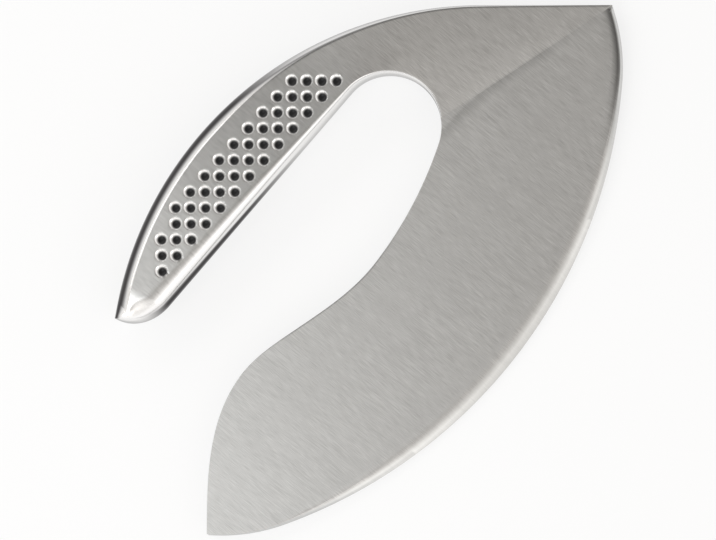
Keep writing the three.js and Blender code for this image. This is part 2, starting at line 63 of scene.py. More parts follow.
MM = 0.001
BODY = "root"
MERGE_DISTANCE = 0.002 * MM
FRONT_MOUNT = "blade_face_front"
FRONT_MOUNT_PLACE = (85 * MM, -15 * MM)

Point = Vector
Rows = list[list[Vector]]


# Plane curves


class Path:
    """A plane curve held as closely spaced points and read by distance from its start."""

    def __init__(self, points: Iterable[Point]) -> None:
        """Keeps the points and the distance at which each one lies.

        Args:
            points: The points in order, in the plane.
        """
        self.points = [p.copy() for p in points]
        self.marks = [0.0]
        for before, after in zip(self.points, self.points[1:]):
            self.marks.append(self.marks[-1] + (after - before).length)

    @property
    def length(self) -> float:
        """Length of the whole curve."""
        return self.marks[-1]

    def _span(self, distance: float) -> tuple[int, float]:
        """Finds where a distance falls.

        Args:
            distance: Distance from the start, held to the curve's own length.

        Returns:
            The index of the point before it, and the share of the way to the next point.
        """
        wanted = min(max(distance, 0.0), self.length)
        low, high = 0, len(self.marks) - 2
        while low < high:
            middle = (low + high + 1) // 2
            if self.marks[middle] <= wanted:
                low = middle
            else:
                high = middle - 1
        step = self.marks[low + 1] - self.marks[low]
        return low, (wanted - self.marks[low]) / step if step > 0 else 0.0

    def at(self, distance: float) -> Point:
        """The point at a distance from the start."""
        index, share = self._span(distance)
        return self.points[index].lerp(self.points[index + 1], share)

    def heading(self, distance: float) -> Point:
        """The unit direction of the curve at a distance from the start."""
        index, _ = self._span(distance)
        return (self.points[index + 1] - self.points[index]).normalized()

    def spaced(self, start: float, end: float, steps: int) -> list[Point]:
        """Points at equal steps between two distances."""
        return [self.at(start + (end - start) * i / steps) for i in range(steps + 1)]


def towards(angle: float) -> Point:
    """The unit direction at an angle from X, in radians."""
    return Vector((math.cos(angle), math.sin(angle)))


def angle_of(direction: Point) -> float:
    """The angle of a direction from X, in radians."""
    return math.atan2(direction.y, direction.x)


def square_to(direction: Point) -> Point:
    """The direction a quarter turn to the left of another."""
    return Vector((-direction.y, direction.x))


def lifted(flat: Point, z: float) -> Vector:
    """A point of the plane at a height."""
    return Vector((flat.x, flat.y, z))


def mix(low: float, high: float, share: float) -> float:
    """The value at a share of the way between two others."""
    return low + (high - low) * share


def eased(low: float, high: float, value: float) -> float:
    """A smooth step from 0 at the low value to 1 at the high one."""
    share = min(max((value - low) / (high - low), 0.0), 1.0)
    return share * share * (3.0 - 2.0 * share)


def arc_points(centre: Point, radius: float, start: float, end: float, steps: int = 240) -> list[Point]:
    """Points along an arc about a centre, from one polar angle to another."""
    return [centre + towards(mix(start, end, i / steps)) * radius for i in range(steps + 1)]


def sweep_points(start: Point, leave: float, end: Point, arrive: float, steps: int = 160) -> list[Point]:
    """Points along a cubic between two points with given headings.

    Args:
        start: First point.
        leave: Heading at the first point, in radians.
        end: Last point.
        arrive: Heading at the last point, in radians.
        steps: Number of equal parameter steps.

    Returns:
        The points, with the handles of an arc of the same turn.
    """
    span = (end - start).length
    turn = abs(arrive - leave)
    reach = 2 * span * math.tan(turn / 4) / (3 * math.sin(turn / 2)) if turn > 0 else span / 3
    first = start + towards(leave) * reach
    second = end - towards(arrive) * reach
    points = []
    for i in range(steps + 1):
        t = i / steps
        s = 1 - t
        points.append(start * s**3 + first * (3 * s * s * t) + second * (3 * s * t * t) + end * t**3)
    return points


def chained(*stretches: list[Point]) -> Path:
    """Several stretches of points end to end as one curve.

    Args:
        stretches: The stretches, each starting where the one before it ends.

    Returns:
        The whole curve.
    """
    points = list(stretches[0])
    for stretch in stretches[1:]:
        points.extend(stretch[1:])
    return Path(points)


def finder(places: Iterable[Point]) -> KDTree:
    """A tree that finds the nearest of some points in the plane.

    Args:
        places: The points.

    Returns:
        The tree, ready to be asked.
    """
    flat = [place.to_3d() for place in places]
    tree = KDTree(len(flat))
    for i, place in enumerate(flat):
        tree.insert(place, i)
    tree.balance()
    return tree


# Drawing of the knife


class Rim(Enum):
    """The two long sides of the handle."""

    OUTER = "outer"
    INNER = "inner"


class Stretch(Enum):
    """The stretches of the handle, in order from the crease."""

    NECK = "neck"
    GRIP = "grip"
    TAIL = "tail"


@dataclass(frozen=True)
class Steps:
    """How finely each stretch of the handle is cut into stations."""

    neck: int
    grip: int
    tail: int

    def of(self, stretch: Stretch) -> int:
        """Number of steps in a stretch."""
        return {Stretch.NECK: self.neck, Stretch.GRIP: self.grip, Stretch.TAIL: self.tail}[stretch]


@dataclass(frozen=True)
class Station:
    """One cross-section of the handle."""

    outer: Point
    inner: Point
    height: float
    outer_round: float
    inner_round: float

    @property
    def across(self) -> Point:
        """Unit direction from the outer rim to the inner one."""
        return (self.inner - self.outer).normalized()

    @property
    def width(self) -> float:
        """Distance from rim to rim."""
        return (self.inner - self.outer).length

    def point(self, inset: float, z: float) -> Vector:
        """A point at a distance in from the outer rim and at a height."""
        return lifted(self.outer + self.across * inset, z)


@dataclass(frozen=True)
class KnifePlan:
    """Driving sizes of the knife and the plane curves that follow from them."""

    blade_length: float = 180 * MM
    blade_half: float = 1.2 * MM
    edge_drop: float = 37 * MM
    tip_curl: float = 3.8 * MM
    tip_arc_run: float = 15 * MM
    tip_trim: float = 0.4 * MM
    spine_tip_heading: float = math.radians(37.4)
    spine_crest: tuple[float, float] = (40 * MM, 18.9 * MM)
    spine_bend: tuple[float, float] = (57 * MM, 15.2 * MM)
    spine_bend_heading: float = math.radians(-18.5)
    spine_waist: tuple[float, float] = (86 * MM, 8.5 * MM)
    opening_radius: float = 13.7 * MM
    opening_place: tuple[float, float] = (117.6 * MM, 27.5 * MM)
    opening_entry: float = math.radians(19 - 90)
    crease_angle: float = math.radians(-43)
    back_radius: float = 100 * MM
    back_top: tuple[float, float] = (79 * MM, 67.3 * MM)
    underside_heading: float = math.radians(176.7)
    tail_x: float = 43 * MM
    butt_x: float = 31.4 * MM
    butt_heading: float = math.radians(95)
    butt_trim: float = 0.15 * MM
    neck_section_heading: float = math.radians(75.5)
    tail_section_heading: float = math.radians(99.5)
    handle_half: float = 7 * MM
    butt_half: float = 4.5 * MM
    ramp_straight: float = 0.6
    outer_rounds: tuple[float, float, float, float] = (0.25 * MM, 1.75 * MM, 3.2 * MM, 4.2 * MM)
    inner_rounds: tuple[float, float, float] = (0.3 * MM, 2.1 * MM, 6.8 * MM)
    outer_round_spread: float = 0.4
    outer_most: float = 0.45
    butt_round: float = 0.8
    butt_round_power: int = 10
    flat_ends: float = 0.5
    joint_half: float = 0.2 * MM
    tongue_half: float = 0.5 * MM

    @property
    def free_tip(self) -> Point:
        """Tip of the blade far from the handle."""
        return Vector((0.0, 0.0))

    @property
    def neck_tip(self) -> Point:
        """Tip of the blade where the neck starts."""
        return Vector((self.blade_length, 0.0))

    @property
    def opening_centre(self) -> Point:
        """Centre of the round end of the finger opening."""
        return Vector(self.opening_place)

    @property
    def back_centre(self) -> Point:
        """Centre of the long arc over the back of the hand."""
        return Vector(self.back_top) - Vector((0.0, self.back_radius))

    def on_opening(self, angle: float) -> Point:
        """A point of the opening's round end at a polar angle."""
        return self.opening_centre + towards(angle) * self.opening_radius

    @property
    def crease_start(self) -> Point:
        """Point of the opening from which the crease runs to the neck tip."""
        return self.on_opening(self.crease_angle)

    @property
    def crease_along(self) -> Point:
        """Unit direction of the crease towards the neck tip."""
        return (self.neck_tip - self.crease_start).normalized()

    @property
    def crease_square(self) -> Point:
        """Unit direction square to the crease, towards the handle."""
        return square_to(self.crease_along)

    def past_crease(self, place: Point) -> float:
        """Distance of a point past the crease, towards the handle."""
        return (place - self.crease_start).dot(self.crease_square)

    def along_crease(self, place: Point) -> float:
        """Share of the way along the crease, from the opening to the neck tip, level with a point."""
        whole = (self.neck_tip - self.crease_start).length
        return (place - self.crease_start).dot(self.crease_along) / whole

    def nearing(self, path: Path) -> float:
        """How fast a curve nears the crease at its end, square to it."""
        return abs(path.heading(path.length).dot(self.crease_square))

    def weld_line(self) -> tuple[Point, Point, Point, Point]:
        """Ends of the weld along the crease.

        Returns:
            The ends at the opening and at the neck tip on the blade's side, then on the neck's side.
        """
        spine = self.spine()
        edge = self.edge()
        first = self.first_station()
        return (
            spine.at(spine.length - self.joint_half / self.nearing(spine)),
            edge.at(edge.length - self.joint_half / self.nearing(edge)),
            first.inner,
            first.outer,
        )

    def edge(self) -> Path:
        """Cutting edge: one long arc that curls up to each tip in a shorter arc tangent to it.

        Returns:
            The curve from the free tip to the neck tip.
        """
        half = self.blade_length / 2
        drop = self.edge_drop - self.tip_curl
        radius = (half * half + drop * drop) / (2 * drop)
        centre = Vector((half, radius - self.edge_drop))
        join_angle = math.acos((half - self.tip_arc_run) / radius)

        def curl(tip: Point, side: float, join: float) -> list[Point]:
            """The shorter arc at one tip.

            Args:
                tip: The tip.
                side: -1 for the free tip, 1 for the neck tip.
                join: Polar angle at which it meets the long arc.

            Returns:
                Its points from the tip to the long arc.
            """
            outward = Vector((side * math.cos(join_angle), -math.sin(join_angle)))
            meeting = centre + outward * radius
            to_meeting = meeting - tip
            tip_radius = to_meeting.length_squared / (2 * to_meeting.dot(outward))
            tip_centre = meeting - outward * tip_radius
            tip_angle = angle_of(tip - tip_centre)
            turns = round((join - tip_angle) / (2 * math.pi))
            return arc_points(tip_centre, tip_radius, tip_angle + turns * 2 * math.pi, join)

        free_join = math.pi + join_angle
        neck_join = 2 * math.pi - join_angle
        return chained(
            curl(self.free_tip, -1, free_join),
            arc_points(centre, radius, free_join, neck_join),
            curl(self.neck_tip, 1, neck_join)[::-1],
        )

    def spine(self) -> Path:
        """Spine of the blade, over crest and waist.

        Returns:
            The curve from the free tip to the joint at the crease.
        """
        crest = Vector(self.spine_crest)
        bend = Vector(self.spine_bend)
        waist = Vector(self.spine_waist)
        entry = self.on_opening(self.opening_entry)
        return chained(
            sweep_points(self.free_tip, self.spine_tip_heading, crest, 0.0),
            sweep_points(crest, 0.0, bend, self.spine_bend_heading),
            sweep_points(bend, self.spine_bend_heading, waist, 0.0),
            sweep_points(waist, 0.0, entry, self.opening_entry + math.pi / 2),
            arc_points(self.opening_centre, self.opening_radius, self.opening_entry, self.crease_angle),
        )

    def _back_angle(self, start: Point, heading: float) -> float:
        """Finds where a straight line crosses the arc of the back.

        Args:
            start: A point of the line.
            heading: Heading of the line, in radians.

        Returns:
            The polar angle of the crossing about the arc's centre.
        """
        offset = start - self.back_centre
        along = offset.dot(towards(heading))
        reach = -along + math.sqrt(along**2 - offset.length_squared + self.back_radius**2)
        return angle_of(offset + towards(heading) * reach)

    def rims(self) -> dict[Stretch, tuple[Path, Path]]:
        """Rims of the handle.

        Returns:
            For each stretch, in order, the matched outer and inner curves.
        """
        exit_angle = self.underside_heading - math.pi / 2
        neck_end = self.on_opening(exit_angle)
        underside = towards(self.underside_heading)
        tail_start = neck_end + underside * ((self.tail_x - neck_end.x) / underside.x)
        butt_angle = math.acos((self.butt_x - self.back_top[0]) / self.back_radius)
        to_tip = self.neck_tip - self.back_centre
        tangent = angle_of(to_tip) + math.acos(self.back_radius / to_tip.length)
        neck_angle = self._back_angle(neck_end, self.neck_section_heading)
        tail_angle = self._back_angle(tail_start, self.tail_section_heading)

        def back(start: float, end: float) -> list[Point]:
            """Points of the arc over the back of the hand."""
            return arc_points(self.back_centre, self.back_radius, start, end)

        butt = self.back_centre + towards(butt_angle) * self.back_radius
        shoulder = back(tangent, neck_angle)
        return {
            Stretch.NECK: (
                chained([self.neck_tip, shoulder[0]], shoulder),
                Path(arc_points(self.opening_centre, self.opening_radius, self.crease_angle, exit_angle)),
            ),
            Stretch.GRIP: (Path(back(neck_angle, tail_angle)), Path([neck_end, tail_start])),
            Stretch.TAIL: (
                Path(back(tail_angle, butt_angle)),
                Path(sweep_points(tail_start, self.underside_heading, butt, self.butt_heading)),
            ),
        }

    def neck_rise(self, along: float) -> float:
        """Rise of the neck from blade to grip: a steady ramp, then a parabola that levels out.

        Args:
            along: Share of the way along the neck.

        Returns:
            The share of the rise.
        """
        slope = 2 / (1 + self.ramp_straight)
        if along <= self.ramp_straight:
            return slope * along
        left = 1 - along
        return 1 - slope * left * left / (2 * (1 - self.ramp_straight))

    def _station(self, stretch: Stretch, along: float, outer: Point, inner: Point) -> Station:
        """The cross-section at a share of the way along a stretch.

        Args:
            stretch: The stretch.
            along: Share of the way along it.
            outer: Its point on the outer rim.
            inner: Its point on the inner rim.

        Returns:
            The station.
        """
        if stretch is Stretch.NECK:
            return Station(
                outer,
                inner,
                mix(self.blade_half, self.handle_half, self.neck_rise(along)),
                mix(self.outer_rounds[0], self.outer_rounds[1], along),
                mix(self.inner_rounds[0], self.inner_rounds[1], along),
            )
        if stretch is Stretch.GRIP:
            spread = min(1.0, along / self.outer_round_spread)
            return Station(
                outer,
                inner,
                self.handle_half,
                mix(self.outer_rounds[1], self.outer_rounds[2], spread),
                mix(self.inner_rounds[1], self.inner_rounds[2], along),
            )
        width = (inner - outer).length
        outer_round = min(mix(self.outer_rounds[2], self.outer_rounds[3], along), self.outer_most * width)
        room = width - outer_round
        rounded = math.sqrt(1 - self.butt_round * along**self.butt_round_power)
        return Station(
            outer,
            inner,
            mix(self.handle_half, self.butt_half, along**2) * rounded,
            outer_round,
            mix(min(self.inner_rounds[2], room), room, eased(0.0, self.flat_ends, along)),
        )

    def stations(self, steps: Steps) -> list[Station]:
        """Cross-sections of the handle, from just past the weld at the crease to the butt.

        Args:
            steps: Number of steps in each stretch.

        Returns:
            The stations in order.
        """
        stations: list[Station] = []
        for stretch, (outer, inner) in self.rims().items():
            starts = [0.0, 0.0]
            if stretch is Stretch.NECK:
                starts = [self.joint_half / self.past_crease(path.at(MM)) * MM for path in (outer, inner)]
            trim = self.butt_trim if stretch is Stretch.TAIL else 0.0
            count = steps.of(stretch)
            outers = outer.spaced(starts[0], outer.length - trim, count)
            inners = inner.spaced(starts[1], inner.length - trim, count)
            lead = (starts[0] / outer.length + starts[1] / inner.length) / 2
            for i in range(1 if stations else 0, count + 1):
                along = mix(lead, 1.0, i / count)
                stations.append(self._station(stretch, along, outers[i], inners[i]))
        return stations

    def first_station(self) -> Station:
        """The cross-section just past the weld at the crease."""
        return self.stations(Steps(1, 1, 1))[0]


@dataclass(frozen=True)
class DimplePattern:
    """The slanting lattice of dimples in the grip."""

    radius: float = 1.7 * MM
    depth: float = 0.74 * MM
    rim_blend: float = 0.05 * MM
    paint_core: float = 0.95 * MM
    paint_edge: float = 1.6 * MM
    paint_shift: float = 0.42 * MM
    bare_rim: float = 0.15 * MM
    pitch_across: float = 3.99 * MM
    pitch_along: float = 4.25 * MM
    row_heading: float = math.radians(-52.6)
    column_heading: float = math.radians(-141.3)
    first: tuple[float, float] = (111 * MM, 56.1 * MM)
    back_margin: float = 2.72 * MM
    finger_margin: float = 0.9 * MM
    neck_margin: float = 0.5 * MM
    rows: int = 13
    reach: int = 12
    margin_steps: Steps = Steps(1, 22, 10)

    @staticmethod
    def _inside(place: Point, line: Sequence[Point], side: float) -> float:
        """Distance of a point to one side of an open line of points.

        Args:
            place: The point.
            line: The line's points in order.
            side: 1 to measure to the left of the line, -1 to the right.

        Returns:
            The distance, below 0 on the other side.
        """
        nearest = math.inf
        signed = 0.0
        for before, after in zip(line, line[1:]):
            step = after - before
            reach = place - before
            share = min(max(reach.dot(step) / step.length_squared, 0.0), 1.0)
            gap = (reach - step * share).length
            if gap < nearest:
                nearest = gap
                signed = math.copysign(gap, side * (step.x * reach.y - step.y * reach.x))
        return signed

    def centres(self, plan: KnifePlan) -> list[Point]:
        """Places of the lattice that lie well inside the grip flat.

        Args:
            plan: The drawing of the knife.

        Returns:
            The centres of the dimples.
        """
        coarse = plan.stations(self.margin_steps)[1:]
        flats = [s for s in coarse if s.width > s.outer_round + s.inner_round]
        back_edge = [s.outer + s.across * s.outer_round for s in flats]
        finger_edge = [s.inner - s.across * s.inner_round for s in flats]
        neck_end = [flats[0].outer, flats[0].inner]
        across = towards(self.row_heading) * self.pitch_across
        down = towards(self.column_heading) * self.pitch_along
        found = []
        for row in range(self.rows):
            for column in range(-self.reach, self.reach + 1):
                centre = Vector(self.first) + down * row + across * column
                if (
                    self._inside(centre, back_edge, 1) >= self.back_margin
                    and self._inside(centre, finger_edge, -1) >= self.finger_margin
                    and self._inside(centre, neck_end, -1) >= self.neck_margin
                ):
                    found.append(centre)
        return found

    def sink(self, distance: float) -> float:
        """Depth of a dimple at a distance from its centre, with a softened rim."""
        bowl = self.depth * (1 - (distance / self.radius) ** 2)
        return (bowl + math.hypot(bowl, self.rim_blend)) / 2


@dataclass(frozen=True)
class Laying:
    """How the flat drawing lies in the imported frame."""

    matrix: Matrix

    @classmethod
    def from_record(cls, record: dict, plan: KnifePlan) -> "Laying":
        """Works the place out from the record's mount on the front face of the blade.

        Args:
            record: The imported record.
            plan: The drawing of the knife.

        Returns:
            The laying, as one matrix from the drawing to the frame.
        """
        mount = next(m for m in record["mounts"] if m["name"] == FRONT_MOUNT)
        normal = Vector(mount["axis"]).normalized()
        turn = Vector((0.0, 0.0, 1.0)).rotation_difference(normal).to_matrix().to_4x4()
        drawn = Vector((*FRONT_MOUNT_PLACE, plan.blade_half))
        shift = Vector(mount["pos_m"]) - turn @ drawn
        return cls(Matrix.Translation(shift) @ turn)

    def direction(self, x: float, y: float, z: float) -> Vector:
        """A direction of the drawing as it points in the frame."""
        return (self.matrix.to_3x3() @ Vector((x, y, z))).normalized()

    def place(self, x: float, y: float, z: float) -> Vector:
        """A place of the drawing as it lies in the frame."""
        return self.matrix @ Vector((x, y, z))


# Finishes


@dataclass(frozen=True)
class PolishFinish:
    """Mirror-like polish on the round-overs, with a painted dark reflection low on them, where they would
    mirror the shaded floor.
    """

    tint: tuple[float, float, float] = (0.93, 0.92, 0.91)
    roughness: float = 0.15
    painted_dark_reflection: tuple[float, float, float] = (0.06, 0.056, 0.057)
    grazing_tint: tuple[float, float, float] = (0.6, 0.6, 0.6)


@dataclass(frozen=True)
class SteelFinish:
    """Stainless steel with fine grinding lines, and polish where a piece has any."""

    name: str
    tint: tuple[float, float, float]
    roughness: float
    anisotropy: float
    line_depth: float
    line_shade: float
    polish: PolishFinish | None = None
    line_heading: float = math.radians(88)
    line_scale: tuple[float, float, float] = (300.0, 12000.0, 400.0)
    line_detail: float = 1.0
    line_height: float = 0.02 * MM
    streak_scale: tuple[float, float, float] = (50.0, 420.0, 60.0)
    streak_detail: float = 2.0
    streak_shade: float = 0.03
    rough_spread: float = 0.04


@dataclass(frozen=True)
class PaintFinish:
    """Dark enamel in the dimples."""

    colour: tuple[float, float, float] = (0.012, 0.012, 0.013)
    roughness: float = 0.28
    gloss: float = 0.2


@dataclass(frozen=True)
class SandFinish:
    """Loose sand inside the handle."""

    name: str = "ballast_sand"
    pale: tuple[float, float, float] = (0.58, 0.46, 0.27)
    dark: tuple[float, float, float] = (0.30, 0.22, 0.12)
    grain: float = 2200.0
    grain_detail: float = 4.0
    grain_depth: float = 0.6
    grain_height: float = 0.2 * MM
    roughness: float = 0.95


SATIN = SteelFinish("satin_steel", (0.58, 0.575, 0.565), 0.36, 0.5, 0.04, 0.18)
GROUND = SteelFinish("ground_bevel_steel", (0.59, 0.59, 0.58), 0.36, 0.5, 0.03, 0.06)
HANDLE = SteelFinish("handle_steel", (0.58, 0.575, 0.565), 0.34, 0.45, 0.04, 0.2, PolishFinish())

Feed = float | Sequence[float] | bpy.types.NodeSocket


def opaque(colour: Sequence[float]) -> tuple[float, float, float, float]:
    """A colour with full opacity."""
    return (colour[0], colour[1], colour[2], 1.0)


class MixKind(Enum):
    """What a Mix node mixes: its data type, and the ending of its sockets' identifiers."""

    COLOUR = ("RGBA", "Color")
    NUMBER = ("FLOAT", "Float")


class NodeSheet:
    """A material's node tree, with short calls that add nodes and hand back their outputs."""

    noise_middle: tuple[float, float] = (0.25, 0.75)

    def __init__(self, name: str) -> None:
        """Starts an empty material with an output and a Principled shader.

        Args:
            name: Name of the material.
        """
        self.material = bpy.data.materials.new(name)
        self.material.use_nodes = True
        self.nodes = self.material.node_tree.nodes
        self.nodes.clear()
        self.output = self.nodes.new("ShaderNodeOutputMaterial")
        self.shader = self.nodes.new("ShaderNodeBsdfPrincipled")
        self.feed(self.output.inputs["Surface"], self.shader.outputs["BSDF"])

    def feed(self, target: bpy.types.NodeSocket, value: Feed) -> None:
        """Gives an input its value.

        Args:
            target: The input.
            value: A constant to set on it, or an output to link to it.
        """
        if isinstance(value, bpy.types.NodeSocket):
            self.material.node_tree.links.new(value, target)
        else:
            target.default_value = value

    def surface(self, name: str, value: Feed) -> None:
        """Gives an input of the Principled shader its value."""
        self.feed(self.shader.inputs[name], value)

    def coordinates(self, turn: float, scale: Sequence[float]) -> bpy.types.NodeSocket:
        """Object coordinates turned about Z and stretched.

        Args:
            turn: Angle from X of the direction that becomes the pattern's own X, in radians.
            scale: Scale along that direction, across it and along Z.

        Returns:
            The output that holds them.
        """
        source = self.nodes.new("ShaderNodeTexCoord")
        turned = self.nodes.new("ShaderNodeMapping")
        turned.vector_type = "POINT"
        stretched = self.nodes.new("ShaderNodeMapping")
        self.feed(turned.inputs["Vector"], source.outputs["Object"])
        self.feed(turned.inputs["Rotation"], (0.0, 0.0, -turn))
        self.feed(stretched.inputs["Vector"], turned.outputs["Vector"])
        self.feed(stretched.inputs["Scale"], scale)
        return stretched.outputs["Vector"]

    def noise(self, place: bpy.types.NodeSocket, scale: float, detail: float) -> bpy.types.NodeSocket:
        """A noise texture.

        Args:
            place: Coordinates that it is read at.
            scale: Its scale on them.
            detail: Number of finer octaves.

        Returns:
            Its value, mostly between 0.25 and 0.75.
        """
        node = self.nodes.new("ShaderNodeTexNoise")
        for name, value in (("Vector", place), ("Scale", scale), ("Detail", detail)):
            self.feed(node.inputs[name], value)
        return node.outputs["Fac"]

    def spread(self, source: bpy.types.NodeSocket, low: float, high: float) -> bpy.types.NodeSocket:
        """Maps the middle of a noise onto a range.

        Args:
            source: The noise.
            low: Low end of the range.
            high: High end of the range.

        Returns:
            The mapped value.
        """
        node = self.nodes.new("ShaderNodeMapRange")
        names = ("Value", "From Min", "From Max", "To Min", "To Max")
        for name, value in zip(names, (source, *self.noise_middle, low, high)):
            self.feed(node.inputs[name], value)
        return node.outputs["Result"]

    def attribute(self, name: str) -> bpy.types.NodeSocket:
        """Reads a value kept on the mesh.

        Args:
            name: Name of the attribute.

        Returns:
            Its value, or 0 on a piece that doesn't keep it.
        """
        node = self.nodes.new("ShaderNodeAttribute")
        node.attribute_name = name
        return node.outputs["Fac"]

    def calculated(self, operation: str, *values: Feed) -> bpy.types.NodeSocket:
        """A sum worked out by a Math node.

        Args:
            operation: Blender's name of the operation.
            values: Its inputs in order.

        Returns:
            The result.
        """
        node = self.nodes.new("ShaderNodeMath")
        node.operation = operation
        for target, value in zip(node.inputs, values):
            self.feed(target, value)
        return node.outputs["Value"]

    def mixed(
        self, kind: MixKind, share: Feed, first: Feed, second: Feed, mode: str = "MIX"
    ) -> bpy.types.NodeSocket:
        """Two colours or numbers mixed.

        Args:
            kind: Whether they are colours or numbers.
            share: Share of the second one.
            first: What is there at a share of 0.
            second: What is laid over it.
            mode: Blender's name of the way of mixing colours.

        Returns:
            The result.
        """
        node = self.nodes.new("ShaderNodeMix")
        node.data_type, ending = kind.value
        node.blend_type = mode
        inputs = {socket.identifier: socket for socket in node.inputs}
        names = ("Factor_Float", f"A_{ending}", f"B_{ending}")
        for name, value in zip(names, (share, first, second)):
            self.feed(inputs[name], value)
        return next(socket for socket in node.outputs if socket.identifier == f"Result_{ending}")

    def bump(self, height: bpy.types.NodeSocket, strength: Feed, distance: float) -> None:
        """Roughens the surface.

        Args:
            height: The pattern of heights.
            strength: How strongly it shows.
            distance: How high it stands.
        """
        node = self.nodes.new("ShaderNodeBump")
        for name, value in (("Height", height), ("Strength", strength), ("Distance", distance)):
            self.feed(node.inputs[name], value)
        self.surface("Normal", node.outputs["Normal"])


class FinishShop:
    """Makes the materials of the knife."""

    def __init__(self, laying: Laying) -> None:
        """Keeps how the knife lies, so that grinding lines follow it."""
        self.laying = laying

    def steel(self, finish: SteelFinish, paint: PaintFinish | None = None) -> bpy.types.Material:
        """Steel with grinding lines, polished where the mesh says so and enamelled where it says so, and
        brightened or darkened by the painted highlight and shade that the mesh keeps.

        Args:
            finish: The steel.
            paint: The enamel of painted places, or None for bare steel.

        Returns:
            The material.
        """
        sheet = NodeSheet(finish.name)
        lines = sheet.noise(
            sheet.coordinates(finish.line_heading, finish.line_scale), 1.0, finish.line_detail
        )
        streaks = sheet.noise(
            sheet.coordinates(finish.line_heading, finish.streak_scale), 1.0, finish.streak_detail
        )
        lined = sheet.calculated(
            "MULTIPLY",
            sheet.spread(lines, 1 - finish.line_shade, 1 + finish.line_shade),
            sheet.spread(streaks, 1 - finish.streak_shade, 1 + finish.streak_shade),
        )
        # Painted highlight and shade: the mesh's shade attribute adds to or takes from the steel's colour.
        level = sheet.calculated("MULTIPLY_ADD", sheet.attribute("shade"), lined, lined)
        colour = sheet.mixed(MixKind.COLOUR, 1.0, opaque(finish.tint), level, "MULTIPLY")
        roughness = sheet.spread(
            lines, finish.roughness - finish.rough_spread, finish.roughness + finish.rough_spread
        )
        depth: Feed = finish.line_depth
        sheet.surface("Metallic", 1.0)
        if finish.polish is not None:
            share = sheet.attribute("polish")
            colour, roughness = self._polished(sheet, finish.polish, share, colour, roughness)
            depth = sheet.mixed(MixKind.NUMBER, share, finish.line_depth, 0.0)
        if paint is not None:
            colour, roughness = self._painted(sheet, paint, colour, roughness)
        sheet.surface("Base Color", colour)
        sheet.surface("Roughness", roughness)
        sheet.bump(lines, depth, finish.line_height)
        across = finish.line_heading - math.pi / 2
        grain = sheet.nodes.new("ShaderNodeCombineXYZ")
        for axis, value in zip("XYZ", self.laying.direction(math.cos(across), math.sin(across), 0.0)):
            sheet.feed(grain.inputs[axis], value)
        sheet.surface("Tangent", grain.outputs["Vector"])
        sheet.surface("Anisotropic", finish.anisotropy)
        return sheet.material

    @staticmethod
    def _polished(
        sheet: NodeSheet,
        polish: PolishFinish,
        share: bpy.types.NodeSocket,
        colour: bpy.types.NodeSocket,
        roughness: bpy.types.NodeSocket,
    ) -> tuple[bpy.types.NodeSocket, bpy.types.NodeSocket]:
        """Polishes steel where the mesh says so, and darkens it at its rims with a painted dark reflection.

        Args:
            sheet: The material being made.
            polish: The polish.
            share: How far each place is polished.
            colour: Colour of the ground steel.
            roughness: Roughness of the ground steel.

        Returns:
            The colour and the roughness with the polish.
        """
        # Polished steel, with the painted dark reflection mixed in low on the round-overs.
        bright = sheet.mixed(
            MixKind.COLOUR, sheet.attribute("rim"), opaque(polish.tint), opaque(polish.painted_dark_reflection)
        )
        grazing = sheet.mixed(MixKind.COLOUR, share, opaque((1.0, 1.0, 1.0)), opaque(polish.grazing_tint))
        sheet.surface("Specular Tint", grazing)
        return (
            sheet.mixed(MixKind.COLOUR, share, colour, bright),
            sheet.mixed(MixKind.NUMBER, share, roughness, polish.roughness),
        )

    @staticmethod
    def _painted(
        sheet: NodeSheet,
        paint: PaintFinish,
        colour: bpy.types.NodeSocket,
        roughness: bpy.types.NodeSocket,
    ) -> tuple[bpy.types.NodeSocket, bpy.types.NodeSocket]:
        """Lays enamel over steel where the mesh holds paint.

        Args:
            sheet: The material being made.
            paint: The enamel.
            colour: Colour of the bare steel.
            roughness: Roughness of the bare steel.

        Returns:
            The colour and the roughness with the enamel over them.
        """
        mask = sheet.attribute("paint")
        sheet.surface("Specular IOR Level", paint.gloss)
        sheet.surface("Metallic", sheet.calculated("SUBTRACT", 1.0, mask))
        return (
            sheet.mixed(MixKind.COLOUR, mask, colour, opaque(paint.colour)),
            sheet.mixed(MixKind.NUMBER, mask, roughness, paint.roughness),
        )

    @staticmethod
    def sand(finish: SandFinish) -> bpy.types.Material:
        """Grainy sand.

        Args:
            finish: The sand.

        Returns:
            The material.
        """
        sheet = NodeSheet(finish.name)
        place = sheet.coordinates(0.0, (1.0, 1.0, 1.0))
        grain = sheet.noise(place, finish.grain, finish.grain_detail)
        colour = sheet.mixed(MixKind.COLOUR, grain, opaque(finish.dark), opaque(finish.pale))
        sheet.surface("Base Color", colour)
        sheet.surface("Roughness", finish.roughness)
        sheet.bump(grain, finish.grain_depth, finish.grain_height)
        return sheet.material


# Work on the bench


class Element(Enum):
    """What is selected in edit mode."""

    VERTICES = "VERT"
    EDGES = "EDGE"


class Choice(Enum):
    """How much of a piece is selected when edit mode opens."""

    ALL = "SELECT"
    NONE = "DESELECT"


